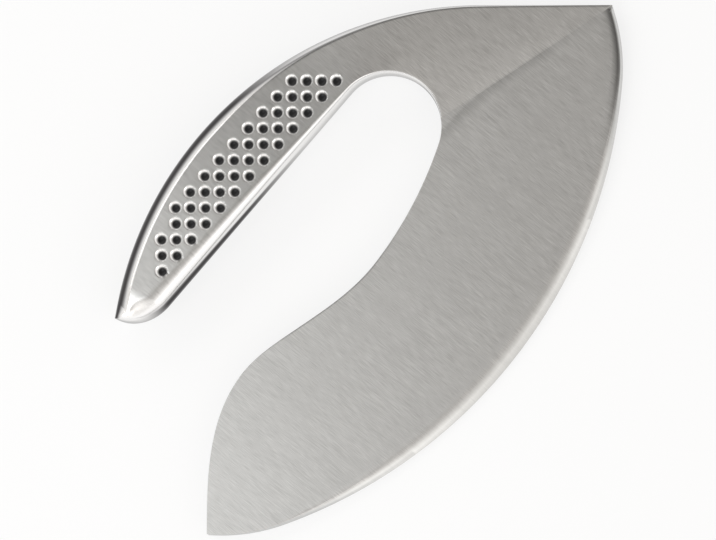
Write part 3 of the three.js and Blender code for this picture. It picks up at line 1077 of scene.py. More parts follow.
class Bench:
    """Blender's own operators, used one piece at a time."""

    @staticmethod
    def clear() -> None:
        """Leaves edit mode and deselects everything."""
        if bpy.context.mode != "OBJECT":
            bpy.ops.object.mode_set(mode="OBJECT")
        bpy.ops.object.select_all(action="DESELECT")

    @classmethod
    def pick(cls, piece: bpy.types.Object) -> None:
        """Makes one object the only selected and the active one.

        Args:
            piece: The object.
        """
        cls.clear()
        piece.select_set(True)
        bpy.context.view_layer.objects.active = piece

    @classmethod
    def open(
        cls, piece: bpy.types.Object, element: Element | None = None, choice: Choice | None = None
    ) -> None:
        """Opens a piece in edit mode.

        Args:
            piece: The piece.
            element: What is selected, or None for what was used last.
            choice: How much is selected, or None to keep the selection.
        """
        cls.pick(piece)
        bpy.ops.object.mode_set(mode="EDIT")
        if element is not None:
            bpy.ops.mesh.select_mode(type=element.value)
        if choice is not None:
            bpy.ops.mesh.select_all(action=choice.value)

    @staticmethod
    def close() -> None:
        """Leaves edit mode with nothing selected."""
        bpy.ops.mesh.select_all(action="DESELECT")
        bpy.ops.object.mode_set(mode="OBJECT")

    @classmethod
    def sheet(cls, name: str, rows: Rows) -> bpy.types.Object:
        """Adds a grid and moves its vertices onto rows of points.

        Args:
            name: Name of the new piece.
            rows: Rows of equal length, in order.

        Returns:
            The grid, with one vertex for each point.
        """
        cls.clear()
        bpy.ops.mesh.primitive_grid_add(
            x_subdivisions=len(rows[0]) - 1, y_subdivisions=len(rows) - 1, size=2 * MM
        )
        piece = bpy.context.active_object
        piece.name = name
        piece.data.name = name
        flat = [value for row in rows for place in row for value in place]
        piece.data.vertices.foreach_set("co", flat)
        piece.data.update()
        return piece

    @classmethod
    def joined(cls, first: bpy.types.Object, *others: bpy.types.Object) -> bpy.types.Object:
        """Joins objects into one.

        Args:
            first: The object that stays.
            others: The objects that go into it.

        Returns:
            The first object.
        """
        cls.pick(first)
        for other in others:
            other.select_set(True)
        bpy.ops.object.join()
        return first

    @classmethod
    def close_ends(cls, piece: bpy.types.Object, width: int) -> None:
        """Closes the first and the last row of a grid, each with one face.

        Args:
            piece: A grid that still has its first order of vertices.
            width: Number of vertices in a row.
        """
        for first in (0, len(piece.data.vertices) - width):
            cls.open(piece, Element.VERTICES, Choice.NONE)
            cls.close()
            for index in range(first, first + width):
                piece.data.vertices[index].select = True
            cls.open(piece)
            bpy.ops.mesh.edge_face_add()
            cls.close()

    @classmethod
    def merged(cls, piece: bpy.types.Object) -> None:
        """Merges vertices that lie on each other.

        Args:
            piece: The piece.
        """
        cls.open(piece, choice=Choice.ALL)
        bpy.ops.mesh.remove_doubles(threshold=MERGE_DISTANCE)
        cls.close()

    @staticmethod
    def pick_open_edges(wires: bool) -> None:
        """Selects the open edges of the piece in edit mode.

        Args:
            wires: Whether edges without a face count as open.
        """
        bpy.ops.mesh.select_non_manifold(
            extend=False, use_wire=wires, use_boundary=True, use_multi_face=False
        )

    @classmethod
    def fill(cls, piece: bpy.types.Object, chosen: Callable[[Vector], bool]) -> None:
        """Fills the open edges whose two ends are both chosen by their place.

        Args:
            piece: The mesh to close.
            chosen: Tells whether an end of an edge belongs to the opening.
        """
        cls.open(piece, Element.EDGES, Choice.NONE)
        cls.pick_open_edges(wires=True)
        bpy.ops.object.mode_set(mode="OBJECT")
        mesh = piece.data
        kept = [e.select and all(chosen(mesh.vertices[v].co) for v in e.vertices) for e in mesh.edges]
        for part in (*mesh.polygons, *mesh.vertices):
            part.select = False
        for edge, keep in zip(mesh.edges, kept):
            edge.select = keep
            if keep:
                for v in edge.vertices:
                    mesh.vertices[v].select = True
        cls.open(piece)
        bpy.ops.mesh.fill(use_beauty=True)
        cls.close()

    @classmethod
    def cap(cls, piece: bpy.types.Object) -> None:
        """Closes every hole that is left.

        Args:
            piece: The piece.
        """
        cls.open(piece, Element.EDGES, Choice.NONE)
        cls.pick_open_edges(wires=False)
        bpy.ops.mesh.fill_holes(sides=0)
        cls.close()

    @classmethod
    def face_out(cls, piece: bpy.types.Object) -> None:
        """Turns all faces outwards.

        Args:
            piece: The piece.
        """
        cls.open(piece, choice=Choice.ALL)
        bpy.ops.mesh.normals_make_consistent(inside=False)
        cls.close()

    @classmethod
    def closed(cls, piece: bpy.types.Object) -> None:
        """Makes a rolled-up grid one closed body.

        Args:
            piece: The piece.
        """
        cls.merged(piece)
        cls.cap(piece)
        cls.face_out(piece)

    @classmethod
    def mirrored_in_plane(cls, piece: bpy.types.Object) -> None:
        """Completes a half with its mirror image in the middle plane of the blade.

        Args:
            piece: The front half.
        """
        cls.pick(piece)
        bpy.ops.object.modifier_add(type="MIRROR")
        mirror = piece.modifiers[-1]
        mirror.use_axis = (False, False, True)
        mirror.use_clip = True
        mirror.merge_threshold = MERGE_DISTANCE
        bpy.ops.object.modifier_apply(modifier=mirror.name)

    @classmethod
    def turned_over(cls, piece: bpy.types.Object, name: str) -> bpy.types.Object:
        """Copies a piece to the other side of the blade's middle plane.

        Args:
            piece: The front piece.
            name: Name of the copy.

        Returns:
            The copy, with a mesh of its own.
        """
        cls.pick(piece)
        bpy.ops.object.duplicate(linked=False)
        copy = bpy.context.active_object
        copy.name = name
        copy.data.name = name
        cls.open(copy, choice=Choice.ALL)
        bpy.ops.transform.resize(value=(1.0, 1.0, -1.0), center_override=(0.0, 0.0, 0.0))
        cls.close()
        cls.face_out(copy)
        return copy

    @classmethod
    def smooth(cls, piece: bpy.types.Object, angle: float) -> None:
        """Shades a piece smooth, with edges sharper than an angle left crisp."""
        cls.pick(piece)
        bpy.ops.object.shade_smooth_by_angle(angle=angle)

    @classmethod
    def laid(cls, piece: bpy.types.Object, laying: Laying) -> None:
        """Lays a piece down to its place in the frame, with that place kept in its mesh.

        Args:
            piece: The piece, still flat as drawn.
            laying: How the knife lies.
        """
        cls.pick(piece)
        piece.matrix_world = laying.matrix
        bpy.ops.object.transform_apply(location=True, rotation=True, scale=True)

    @staticmethod
    def facing(piece: bpy.types.Object, side: float) -> list[float]:
        """How squarely the surface at each vertex faces up.

        Args:
            piece: The piece, still flat as drawn.
            side: 1 for the front of the knife; -1 for the back, where up means down.

        Returns:
            The largest upward part of the normals round each vertex, or 0 where none faces up.
        """
        facing = [0.0] * len(piece.data.vertices)
        for polygon in piece.data.polygons:
            for index in polygon.vertices:
                facing[index] = max(facing[index], side * polygon.normal.z)
        return facing

    @staticmethod
    def note(piece: bpy.types.Object, name: str, value: Callable[[bpy.types.MeshVertex], float]) -> None:
        """Keeps a value on each vertex for the materials to read.

        Args:
            piece: The piece.
            name: Name of the attribute.
            value: Gives the value of a vertex.
        """
        values = [value(vertex) for vertex in piece.data.vertices]
        kept = piece.data.attributes.new(name, "FLOAT", "POINT")
        kept.data.foreach_set("value", values)

    @staticmethod
    def coat(piece: bpy.types.Object, material: bpy.types.Material) -> None:
        """Gives a piece one material all over."""
        piece.data.materials.clear()
        piece.data.materials.append(material)


# Pieces of the knife


@dataclass(frozen=True)
class PlateRow:
    """Where one row of the plate is drawn."""

    back: Point
    tongue: Point
    at_spine: float
    along: float


@dataclass
class Blade:
    """Crescent plate with flat faces and a ground bevel."""

    plan: KnifePlan
    spine_steps: int = 220
    crease_steps: int = 70
    spine_ease: float = 0.12 * MM
    back_rows: tuple[float, ...] = (2.5 * MM, 3.2 * MM, 3.9 * MM, 4.8 * MM, 6 * MM)
    back_most: float = 0.25
    bevel_width: float = 3.3 * MM
    bevel_at_tips: tuple[float, float] = (0.3 * MM, 0.8 * MM)
    bevel_most: float = 0.5
    bevel_soft: float = 1.5 * MM
    soft_most: tuple[float, float] = (0.7, 1 / 6)
    soft_turns: tuple[float, ...] = (1.0, 0.5, 0.0, -0.5, -1.0)
    bevel_columns: int = 4
    # Painted highlight on the bevel, fading out across its inner line.
    bevel_painted_highlight: float = 0.28
    glint_edge: tuple[float, float] = (-0.5, 1.5)
    crease_hollow: float = 0.06 * MM
    hollow_rows: tuple[tuple[float, float, float], ...] = (
        (0.8 * MM, 0.0, 0.5),
        (1.2 * MM, 0.5 * MM, 0.3),
        (1.8 * MM, 1.8 * MM, 0.15),
    )
    # Painted shade along the crease on the blade's side, bending away from it by the opening.
    crease_reach: float = 3.5 * MM
    crease_painted_shade: float = 0.2
    crease_fade: tuple[float, float] = (0.4, 1.0)
    crease_bend: float = 3 * MM
    bend_share: float = 0.35
    bend_soft: float = 0.9 * MM
    # Painted shade line along the bent stretch of the spine.
    spine_painted_shade: float = 0.4
    spine_line: float = 0.48 * MM
    spine_stretch: tuple[float, float, float, float] = (48 * MM, 58 * MM, 84 * MM, 104 * MM)
    # Painted shade along the bevel at the heel; the heel rows are flat rows that carry its gradient.
    heel_length: float = 45 * MM
    heel_full: float = 168 * MM
    heel_reach: float = 3.6 * MM
    heel_rows: tuple[tuple[float, float], ...] = ((1.0, 1 / 8), (0.3, 1 / 16))
    heel_rise: tuple[float, float] = (0.64 * MM, 0.96 * MM)
    heel_from: float = 1.2 * MM
    heel_painted_shade: float = 0.74
    heel_falloff: int = 3
    edge_samples: int = 900
    edge_land: float = 0.1 * MM
    crease_share: float = 0.998
    crisp_angle: float = math.radians(9)
    pieces: list[bpy.types.Object] = field(default_factory=list)

    def _outline(self) -> list[PlateRow]:
        """Matched places along the plate, past the spine and then past the crease.

        Returns:
            For each place, the back point, the end of the tongue under the welds, 1 by the spine or 0 by
            the crease, and the distance along the edge.
        """
        plan = self.plan
        spine = plan.spine()
        edge = plan.edge()
        start, end, neck_start, neck_end = plan.weld_line()
        spine_end = spine.length - plan.joint_half / plan.nearing(spine)
        edge_end = edge.length - plan.joint_half / plan.nearing(edge)
        split = edge_end * spine_end / (spine_end + (end - start).length)
        places = []
        for i in range(self.spine_steps + 1):
            share = i / self.spine_steps
            back = spine.at(mix(plan.tip_trim, spine_end, share))
            places.append(PlateRow(back, back, 1.0, mix(plan.tip_trim, split, share)))
        for i in range(self.crease_steps + 1):
            share = i / self.crease_steps
            back = start.lerp(end, min(share, self.crease_share))
            tongue = neck_start.lerp(neck_end, share)
            places.append(PlateRow(back, tongue, 0.0, mix(split, edge_end, share)))
        return places

    def width_at(self, share: float) -> float:
        """Width of the bevel at a share of the way along the edge."""
        return mix(mix(*self.bevel_at_tips, share), self.bevel_width, math.sin(math.pi * share) ** 2)

    def _row(self, place: PlateRow, edge: Path) -> list[Vector]:
        """One row of the front half of the plate.

        Args:
            place: Where the row is drawn.
            edge: The cutting edge.

        Returns:
            The points, from the middle plane at the back to the middle plane at the edge.
        """
        face = self.plan.blade_half
        tongue_half = self.plan.tongue_half
        back = place.back
        tip = edge.at(place.along)
        inward = square_to(edge.heading(place.along))
        inner = (tip - back).normalized()
        at_spine = place.at_spine
        room = (back - tip).length
        width = min(self.width_at(place.along / edge.length), self.bevel_most * room)
        soft = min(self.bevel_soft, self.soft_most[0] * width, self.soft_most[1] * room)
        drop = (face - self.edge_land) / width * soft
        sunk = self.crease_hollow * (1.0 - at_spine)
        ease = min(self.spine_ease, self.back_most * room) * at_spine

        def from_back(distance: float, z: float) -> Vector:
            """A point at a distance from the back and at a height."""
            return lifted(back + inner * min(distance, self.back_most * room), z)

        def from_edge(distance: float, z: float) -> Vector:
            """A point at a distance from the edge and at a height."""
            return lifted(tip + inward * distance, z)

        row = [lifted(place.tongue, 0.0), lifted(place.tongue, tongue_half)]
        row += [lifted(back, tongue_half), lifted(back, face - ease - sunk)]
        for by_crease, by_spine, left in self.hollow_rows:
            row.append(from_back(max(ease, mix(by_crease, by_spine, at_spine)), face - left * sunk))
        row += [from_back(distance, face) for distance in self.back_rows]
        for share, most in self.heel_rows:
            row.append(from_edge(width + 2 * soft + min(share * self.heel_reach, most * room), face))
        row.append(from_edge(width + 2 * soft, face))
        for turn in self.soft_turns:
            row.append(from_edge(width + turn * soft, face - drop * ((1.0 - turn) / 2) ** 2))
        row += [lifted(tip, self.edge_land), lifted(tip, 0.0)]
        return row

    def build(self) -> bpy.types.Object:
        """Models the plate.

        Returns:
            The blade, both faces complete.
        """
        edge = self.plan.edge()
        rows = [self._row(place, edge) for place in self._outline()]
        piece = Bench.sheet("crescent_blade", rows)
        columns = len(rows[0]) - 1
        for _ in range(2):
            piece.data.materials.append(None)
        for polygon in piece.data.polygons:
            from_edge = columns - 1 - polygon.index % columns
            polygon.material_index = 1 if 0 < from_edge < self.bevel_columns else 0
        Bench.mirrored_in_plane(piece)
        Bench.closed(piece)
        Bench.smooth(piece, self.crisp_angle)
        self.pieces = [piece]
        return piece

    def _crease_shade_share(self, place: Point) -> float:
        """How strongly the painted shade along the crease falls on a place; the shaded band bends away from
        the crease by the opening. How near a place is to the weld at the crease, which seems to bend by the
        opening.

        Args:
            place: A place on the plate.

        Returns:
            A share from 0 to 1.
        """
        along = self.plan.along_crease(place)
        bend = self.crease_bend * (1.0 - min(1.0, max(0.0, along / self.bend_share))) ** 2
        from_weld = -self.plan.past_crease(place) - bend
        near = 1.0 - eased(0.0, self.crease_reach, from_weld)
        near *= eased(-self.bend_soft, 0.0, from_weld) * (1.0 - eased(*self.crease_fade, along))
        return near * eased(-self.bend_share, 0.0, along)

    def _heel_shade_share(self, place: Point, from_edge: float) -> float:
        """How strongly the painted shade along the bevel at the heel falls on a place.

        Args:
            place: A place on the plate.
            from_edge: Its distance from the edge.

        Returns:
            A share from 0 to 1.
        """
        near = (1.0 - eased(0.0, self.heel_reach, from_edge - self.heel_from)) ** self.heel_falloff
        near *= eased(*self.heel_rise, from_edge)
        return near * eased(self.plan.blade_length - self.heel_length, self.heel_full, place.x)

    def _bevel_highlight_share(self, share: float, from_edge: float) -> float:
        """How strongly the painted highlight on the bevel falls on a place.

        Args:
            share: Its share of the way along the edge.
            from_edge: Its distance from the edge.

        Returns:
            A share from 0 to 1, less where the bevel is narrow.
        """
        width = self.width_at(share)
        start, end = (width + part * self.bevel_soft for part in self.glint_edge)
        return (1.0 - eased(start, end, from_edge)) * eased(*self.bevel_at_tips, width / 2)

    def _spine_shade_share(self, place: Point, from_spine: float) -> float:
        """How strongly the painted shade line along the bent stretch of the spine falls on a place.

        Args:
            place: A place on the plate.
            from_spine: Its distance from the spine.

        Returns:
            A share from 0 to 1.
        """
        start, full, fading, end = self.spine_stretch
        near = 1.0 - eased(self.spine_ease, self.spine_line, from_spine)
        return near * eased(start, full, place.x) * (1.0 - eased(fading, end, place.x))

    def dress(self, satin: bpy.types.Material, ground: bpy.types.Material) -> None:
        """Gives the faces their satin and the bevel its grind, with painted shade along the crease, at the
        heel and along the spine, and a painted highlight on the bevel.

        Args:
            satin: Steel of the faces.
            ground: Steel of the bevel.
        """
        edge = self.plan.edge()
        spine = self.plan.spine()
        edge_finder = finder(edge.spaced(0.0, edge.length, self.edge_samples))
        spine_finder = finder(spine.spaced(0.0, spine.length, self.edge_samples))

        def shade(vertex: bpy.types.MeshVertex) -> float:
            """How much painted highlight or painted shade a vertex gets.

            Args:
                vertex: A vertex of the blade, still flat as drawn.

            Returns:
                The share that is added to the steel's own colour.
            """
            if abs(vertex.co.z) < self.plan.tongue_half:
                return 0.0
            place = vertex.co.xy
            _, spot, from_edge = edge_finder.find(place.to_3d())
            from_spine = spine_finder.find(place.to_3d())[2]
            # Painted shade at crease, heel and spine, less a painted highlight on the bevel.
            dark = max(
                self.crease_painted_shade * self._crease_shade_share(place),
                self.heel_painted_shade * self._heel_shade_share(place, from_edge),
                self.spine_painted_shade * self._spine_shade_share(place, from_spine),
            )
            return self.bevel_painted_highlight * self._bevel_highlight_share(spot / self.edge_samples, from_edge) - dark

        for piece in self.pieces:
            Bench.note(piece, "shade", shade)
            piece.data.materials[0] = satin
            piece.data.materials[1] = ground


@dataclass
class HandleHalves:
    """The two hollow halves of the handle, with their dimples."""

    plan: KnifePlan
    pattern: DimplePattern
    steps: Steps = Steps(110, 400, 60)
    round_steps: int = 14
    flat_steps: int = 84
    crisp_shoulder: float = math.radians(76)
    ridge_halvings: int = 50
    dent_reach: float = 1.5
    wall: float = 1.5 * MM
    hollow_steps: Steps = Steps(20, 30, 14)
    hollow_round_steps: int = 6
    hollow_flat_steps: int = 8
    hollow_start: int = 13
    hollow_least: float = 3 * MM
    polish_from: float = 0.95
    polish_full: float = 0.82
    tail_polish: tuple[float, float] = (34 * MM, 43 * MM)
    # Where the painted dark reflection falls low on the round-overs, by height, side and place along the
    # handle.
    finger_rim: tuple[float, float] = (0.52, 0.66)
    finger_fade: tuple[float, float] = (75 * MM, 105 * MM)
    butt_fade: tuple[float, float] = (35 * MM, 44 * MM)
    butt_share: float = 0.15
    back_rim: tuple[float, float] = (0.54, 0.93)
    back_fade: tuple[float, float] = (95 * MM, 125 * MM)
    side_turn: float = 0.3
    wall_share: float = 0.3
    wall_rise: tuple[float, float] = (0.0, 0.3)
    neck_rim: tuple[float, float] = (0.05, 0.3)
    neck_rim_share: float = 0.55
    neck_shoulder: tuple[float, float] = (0.5, 0.7)
    neck_shoulder_share: float = 0.8
    shoulder_steps: Steps = Steps(600, 400, 20)
    # Painted shade line along the neck's outer shoulder.
    shoulder_painted_shade: float = 0.6
    shoulder_reach: float = 0.6 * MM
    # Painted highlight by the crease, on the neck's side.
    crease_painted_highlight: float = 0.09
    glint_from: float = 0.4
    crease_fade: tuple[float, float] = (0.4, 0.95)
    crease_reach: float = 7 * MM
    # Painted shade high on the grip flat.
    grip_painted_shade: float = 0.2
    grip_stretch: tuple[float, float] = (50 * MM, 95 * MM)
    grip_fade: tuple[float, float] = (105 * MM, 135 * MM)
    crisp_angle: float = math.radians(14)
    pieces: list[bpy.types.Object] = field(default_factory=list)

    def _tall(self, station: Station) -> float:
        """Half height of the ellipse that the outer round-over is cut from."""
        return station.height / math.sin(self.crisp_shoulder)

    def outer_inset(self, station: Station, z: float) -> float:
        """Distance of the outer round-over from its rim at a height; it meets the flat at an angle."""
        wide = station.outer_round / (1 - math.cos(self.crisp_shoulder))
        return wide * (1 - math.sqrt(max(0.0, 1 - (z / self._tall(station)) ** 2)))

    @staticmethod
    def inner_inset(station: Station, z: float) -> float:
        """Distance of the inner round-over from its rim at a height; it runs smoothly into the flat."""
        return station.inner_round * (1 - math.sqrt(max(0.0, 1 - (z / station.height) ** 2)))

    def _insets(self, station: Station, z: float) -> float:
        """Width that the two round-overs take up together at a height."""
        return self.outer_inset(station, z) + self.inner_inset(station, z)

    def _top(self, station: Station) -> float:
        """Height of the flat, or of the ridge where the two round-overs meet first.

        Args:
            station: The cross-section.

        Returns:
            The height above the middle plane.
        """
        if self._insets(station, station.height) <= station.width:
            return station.height
        low, high = 0.0, station.height
        for _ in range(self.ridge_halvings):
            middle = (low + high) / 2
            if self._insets(station, middle) < station.width:
                low = middle
            else:
                high = middle
        return low

    def section(self, station: Station, round_steps: int, flat_steps: int) -> list[Vector]:
        """Points across the front half at a station.

        Args:
            station: The cross-section.
            round_steps: Number of steps over each round-over.
            flat_steps: Number of steps over the flat.

        Returns:
            The points, from the joint at the outer rim to the joint at the inner one.
        """
        foot = self.plan.joint_half
        top = self._top(station)
        tall = self._tall(station)
        row = []
        low = math.asin(foot / tall)
        high = math.asin(min(1.0, top / tall))
        for i in range(round_steps + 1):
            z = tall * math.sin(mix(low, high, i / round_steps))
            row.append(station.point(self.outer_inset(station, z), z))
        start = self.outer_inset(station, top)
        end = station.width - self.inner_inset(station, top)
        for i in range(1, flat_steps):
            row.append(station.point(mix(start, end, i / flat_steps), top))
        low = math.asin(foot / station.height)
        high = math.asin(min(1.0, top / station.height))
        for i in range(round_steps, -1, -1):
            z = station.height * math.sin(mix(low, high, i / round_steps))
            row.append(station.point(station.width - self.inner_inset(station, z), z))
        return row

    def _dented(self, rows: Rows) -> Rows:
        """Presses the dimples into rows of points.

        Args:
            rows: The rows, changed in place.

        Returns:
            The same rows.
        """
        centres = self.pattern.centres(self.plan)
        LOG.info("dimples on each side: %d", len(centres))
        reach = self.dent_reach * self.pattern.radius
        for row in rows:
            for place in row:
                for centre in centres:
                    distance = math.hypot(place.x - centre.x, place.y - centre.y)
                    if distance < reach and place.z > self.plan.handle_half / 2:
                        place.z -= self.pattern.sink(distance)
        return rows

    def _hollow(self) -> Rows:
        """Rows of the hollow inside one half.

        Returns:
            The rows, from past the tang to where the tail gets narrow.
        """
        rows = []
        for station in self.plan.stations(self.hollow_steps)[self.hollow_start :]:
            if station.width - 2 * self.wall < self.hollow_least:
                break
            inset = station.across * self.wall
            inside = replace(
                station,
                outer=station.outer + inset,
                inner=station.inner - inset,
                height=station.height - self.wall,
            )
            rows.append(self.section(inside, self.hollow_round_steps, self.hollow_flat_steps))
        return rows

    def build(self) -> list[bpy.types.Object]:
        """Models the front half and turns a copy of it over for the back.

        Returns:
            The front and the back half.
        """
        foot = self.plan.joint_half
        stations = self.plan.stations(self.steps)
        outside = self._dented([self.section(s, self.round_steps, self.flat_steps) for s in stations])
        inside = self._hollow()
        front = Bench.sheet("handle_half_front", outside)
        hollow = Bench.sheet("handle_hollow", inside)
        for shell, rows in ((front, outside), (hollow, inside)):
            Bench.close_ends(shell, len(rows[0]))
            Bench.merged(shell)
        Bench.joined(front, hollow)
        Bench.fill(front, lambda place: abs(place.z - foot) < MERGE_DISTANCE)
        Bench.cap(front)
        Bench.face_out(front)
        Bench.smooth(front, self.crisp_angle)
        self.pieces = [front, Bench.turned_over(front, "handle_half_back")]
        Bench.smooth(self.pieces[1], self.crisp_angle)
        return self.pieces

    def rim_shade(self, vertex: bpy.types.MeshVertex, up: float) -> float:
        """Share of the painted dark reflection low on the round-overs: colour that stands in for the shade
        under the handle that the polish would mirror.

        Args:
            vertex: A vertex of the handle, still flat as drawn.
            up: How squarely its surface faces up.

        Returns:
            The share of the painted dark reflection.
        """
        along = vertex.co.x
        grip = (1.0 - eased(*self.back_rim, up)) * mix(self.wall_share, 1.0, eased(*self.wall_rise, up))
        neck = max(
            self.neck_rim_share * (1.0 - eased(*self.neck_rim, up)),
            self.neck_shoulder_share * eased(*self.neck_shoulder, up),
        )
        back = mix(grip, neck, eased(*self.back_fade, along))
        height = abs(vertex.co.z) / self.plan.handle_half
        finger = 1.0 - eased(*self.finger_rim, height)
        finger *= mix(self.wall_share, 1.0, eased(*self.wall_rise, height))
        finger *= 1.0 - eased(*self.finger_fade, along)
        finger *= mix(self.butt_share, 1.0, eased(*self.butt_fade, along))
        side = vertex.normal.xy.normalized().y
        return mix(finger, back, eased(-self.side_turn, self.side_turn, side))

    def _polish(self, vertex: bpy.types.MeshVertex, up: float) -> float:
        """How far a vertex is polished: on the round-overs and at the tail."""
        rounded = 1.0 - eased(self.polish_full, self.polish_from, up)
        return max(rounded, 1.0 - eased(*self.tail_polish, vertex.co.x))

    def _painted_light(self, vertex: bpy.types.MeshVertex, shoulder: KDTree) -> float:
        """How much painted highlight or painted shade a vertex gets: a highlight by the crease on the neck's
        side, shade high on the grip and a shaded line along the neck's outer shoulder.

        Args:
            vertex: A vertex of the handle, still flat as drawn.
            shoulder: Finds the nearest point of the line where the outer round-over meets the flat.

        Returns:
            The share that is added to the steel's own colour.
        """
        place = vertex.co.xy
        along = self.plan.along_crease(place)
        glint = self.crease_painted_highlight * (1.0 - eased(0.0, self.crease_reach, self.plan.past_crease(place)))
        glint *= eased(0.0, self.glint_from, along) * (1.0 - eased(*self.crease_fade, along))
        grip = eased(*self.grip_stretch, place.x) * (1.0 - eased(*self.grip_fade, place.x))
        line = 1.0 - eased(0.0, self.shoulder_reach, shoulder.find(place.to_3d())[2])
        line *= eased(*self.back_fade, place.x)
        return glint - self.grip_painted_shade * grip - self.shoulder_painted_shade * line

    def _paint(self, vertex: bpy.types.MeshVertex, centres: Sequence[Point]) -> float:
        """How far a vertex is painted: enamel in the dimples, its disc shifted towards the fingers.

        Args:
            vertex: A vertex of the handle, still flat as drawn.
            centres: Centres of the dimples.

        Returns:
            The share of the paint.
        """
        pattern = self.pattern
        if abs(vertex.co.z) < self.plan.handle_half - 2 * pattern.depth:
            return 0.0
        centre = min(centres, key=lambda place: (vertex.co.xy - place).length)
        from_centre = vertex.co.xy - centre
        from_enamel_centre = (from_centre + Vector((0.0, pattern.paint_shift))).length
        shifted_enamel = 1.0 - eased(pattern.paint_core, pattern.paint_edge, from_enamel_centre)
        return shifted_enamel * eased(0.0, pattern.bare_rim, pattern.radius - from_centre.length)

    def dress(self, steel: bpy.types.Material) -> None:
        """Gives both halves their steel, polished on the round-overs and enamelled in the dimples, with a
        painted dark reflection low on the round-overs and painted highlight and shade on the flats.

        Args:
            steel: Steel with its polish and its paint.
        """
        stations = self.plan.stations(self.shoulder_steps)
        shoulder = finder(s.outer + s.across * self.outer_inset(s, self._top(s)) for s in stations)
        centres = self.pattern.centres(self.plan)
        for piece, side in zip(self.pieces, (1.0, -1.0)):
            facing = Bench.facing(piece, side)
            Bench.note(piece, "polish", lambda vertex: self._polish(vertex, facing[vertex.index]))
            # Share of the painted dark reflection low on the round-overs.
            Bench.note(piece, "rim", lambda vertex: self.rim_shade(vertex, facing[vertex.index]))
            # Painted highlight and painted shade on the flats.
            Bench.note(piece, "shade", lambda vertex: self._painted_light(vertex, shoulder))
            Bench.note(piece, "paint", lambda vertex: self._paint(vertex, centres))
            Bench.coat(piece, steel)


@dataclass
class RimSeam:
    """Weld that closes the rim of the two halves, ground flush with them."""

    plan: KnifePlan
    halves: HandleHalves
    steps: Steps = Steps(110, 120, 60)
    depth: float = 0.7 * MM
    deepest: float = 0.45
    height_steps: int = 4
    crisp_angle: float = math.radians(30)
    pieces: list[bpy.types.Object] = field(default_factory=list)

    def _row(self, station: Station, rim: Rim) -> list[Vector]:
        """Closed section of the weld at a station, on one rim.

        Args:
            station: The cross-section.
            rim: The rim.

        Returns:
            The points, with the first one again at the end.
        """
        half = self.plan.joint_half
        depth = min(self.depth, self.deepest * station.width)
        inset = self.halves.outer_inset if rim is Rim.OUTER else self.halves.inner_inset
        heights = [mix(-half, half, i / self.height_steps) for i in range(self.height_steps + 1)]
        points = [(inset(station, abs(z)), z) for z in heights] + [(depth, half), (depth, -half)]
        if rim is Rim.INNER:
            points = [(station.width - inward, z) for inward, z in points]
        row = [station.point(inward, z) for inward, z in points]
        return [*row, row[0].copy()]

    def build(self) -> bpy.types.Object:
        """Models the weld along both rims.

        Returns:
            The seam as one piece.
        """
        stations = self.plan.stations(self.steps)
        outer = Bench.sheet("rim_seam", [self._row(s, Rim.OUTER) for s in stations])
        inner = Bench.sheet("rim_seam_inner", [self._row(s, Rim.INNER) for s in stations])
        for strip in (outer, inner):
            Bench.closed(strip)
        piece = Bench.joined(outer, inner)
        Bench.smooth(piece, self.crisp_angle)
        self.pieces = [piece]
        return piece

    def dress(self, steel: bpy.types.Material) -> None:
        """Gives the weld the polish of the round-overs, with their painted dark reflection.

        Args:
            steel: Steel of the handle.
        """
        for piece in self.pieces:
            Bench.note(piece, "polish", lambda vertex: 1.0)
            # The seam gets the same painted dark reflection as the round-overs.
            Bench.note(piece, "rim", lambda vertex: self.halves.rim_shade(vertex, 0.0))
            Bench.coat(piece, steel)


@dataclass
class NeckWelds:
    """Welds along the crease between blade and neck, front and back, ground into a soft hollow line."""

    plan: KnifePlan
    length_steps: int = 60
    curve_steps: int = 6
    crisp_angle: float = math.radians(30)
    pieces: list[bpy.types.Object] = field(default_factory=list)

    def _rows(self) -> Rows:
        """Closed sections of the front weld.

        Returns:
            The sections from the opening to the neck tip.
        """
        plan = self.plan
        rise = plan.first_station().height
        low_start, low_end, high_start, high_end = plan.weld_line()
        rows = []
        for i in range(self.length_steps + 1):
            share = i / self.length_steps
            blade_side = low_start.lerp(low_end, share)
            neck_side = high_start.lerp(high_end, share)
            middle = (blade_side + neck_side) / 2
            row = []
            for j in range(self.curve_steps + 1):
                t = j / self.curve_steps
                s = 1 - t
                flat = blade_side * (s * s) + middle * (2 * s * t) + neck_side * (t * t)
                row.append(lifted(flat, mix(plan.blade_half, rise, t * t)))
            row += [lifted(neck_side, plan.tongue_half), lifted(blade_side, plan.tongue_half)]
            rows.append([*row, row[0].copy()])
        return rows

    def build(self) -> list[bpy.types.Object]:
        """Models the front weld and turns a copy of it over.

        Returns:
            The front and the back weld.
        """
        front = Bench.sheet("neck_weld_strip_front", self._rows())
        Bench.closed(front)
        Bench.smooth(front, self.crisp_angle)
        self.pieces = [front, Bench.turned_over(front, "neck_weld_strip_back")]
        Bench.smooth(self.pieces[1], self.crisp_angle)
        return self.pieces

    def dress(self, steel: bpy.types.Material) -> None:
        """Gives the welds the satin of the faces that they join."""
        for piece in self.pieces:
            Bench.coat(piece, steel)


# Studio


@dataclass(frozen=True)
class Softbox:
    """A rectangular lamp, placed by how the picture sees it."""

    name: str
    right: float
    up: float
    rise: float
    width: float
    depth: float
    watts: float
    warmth: tuple[float, float, float] = (1.0, 1.0, 1.0)


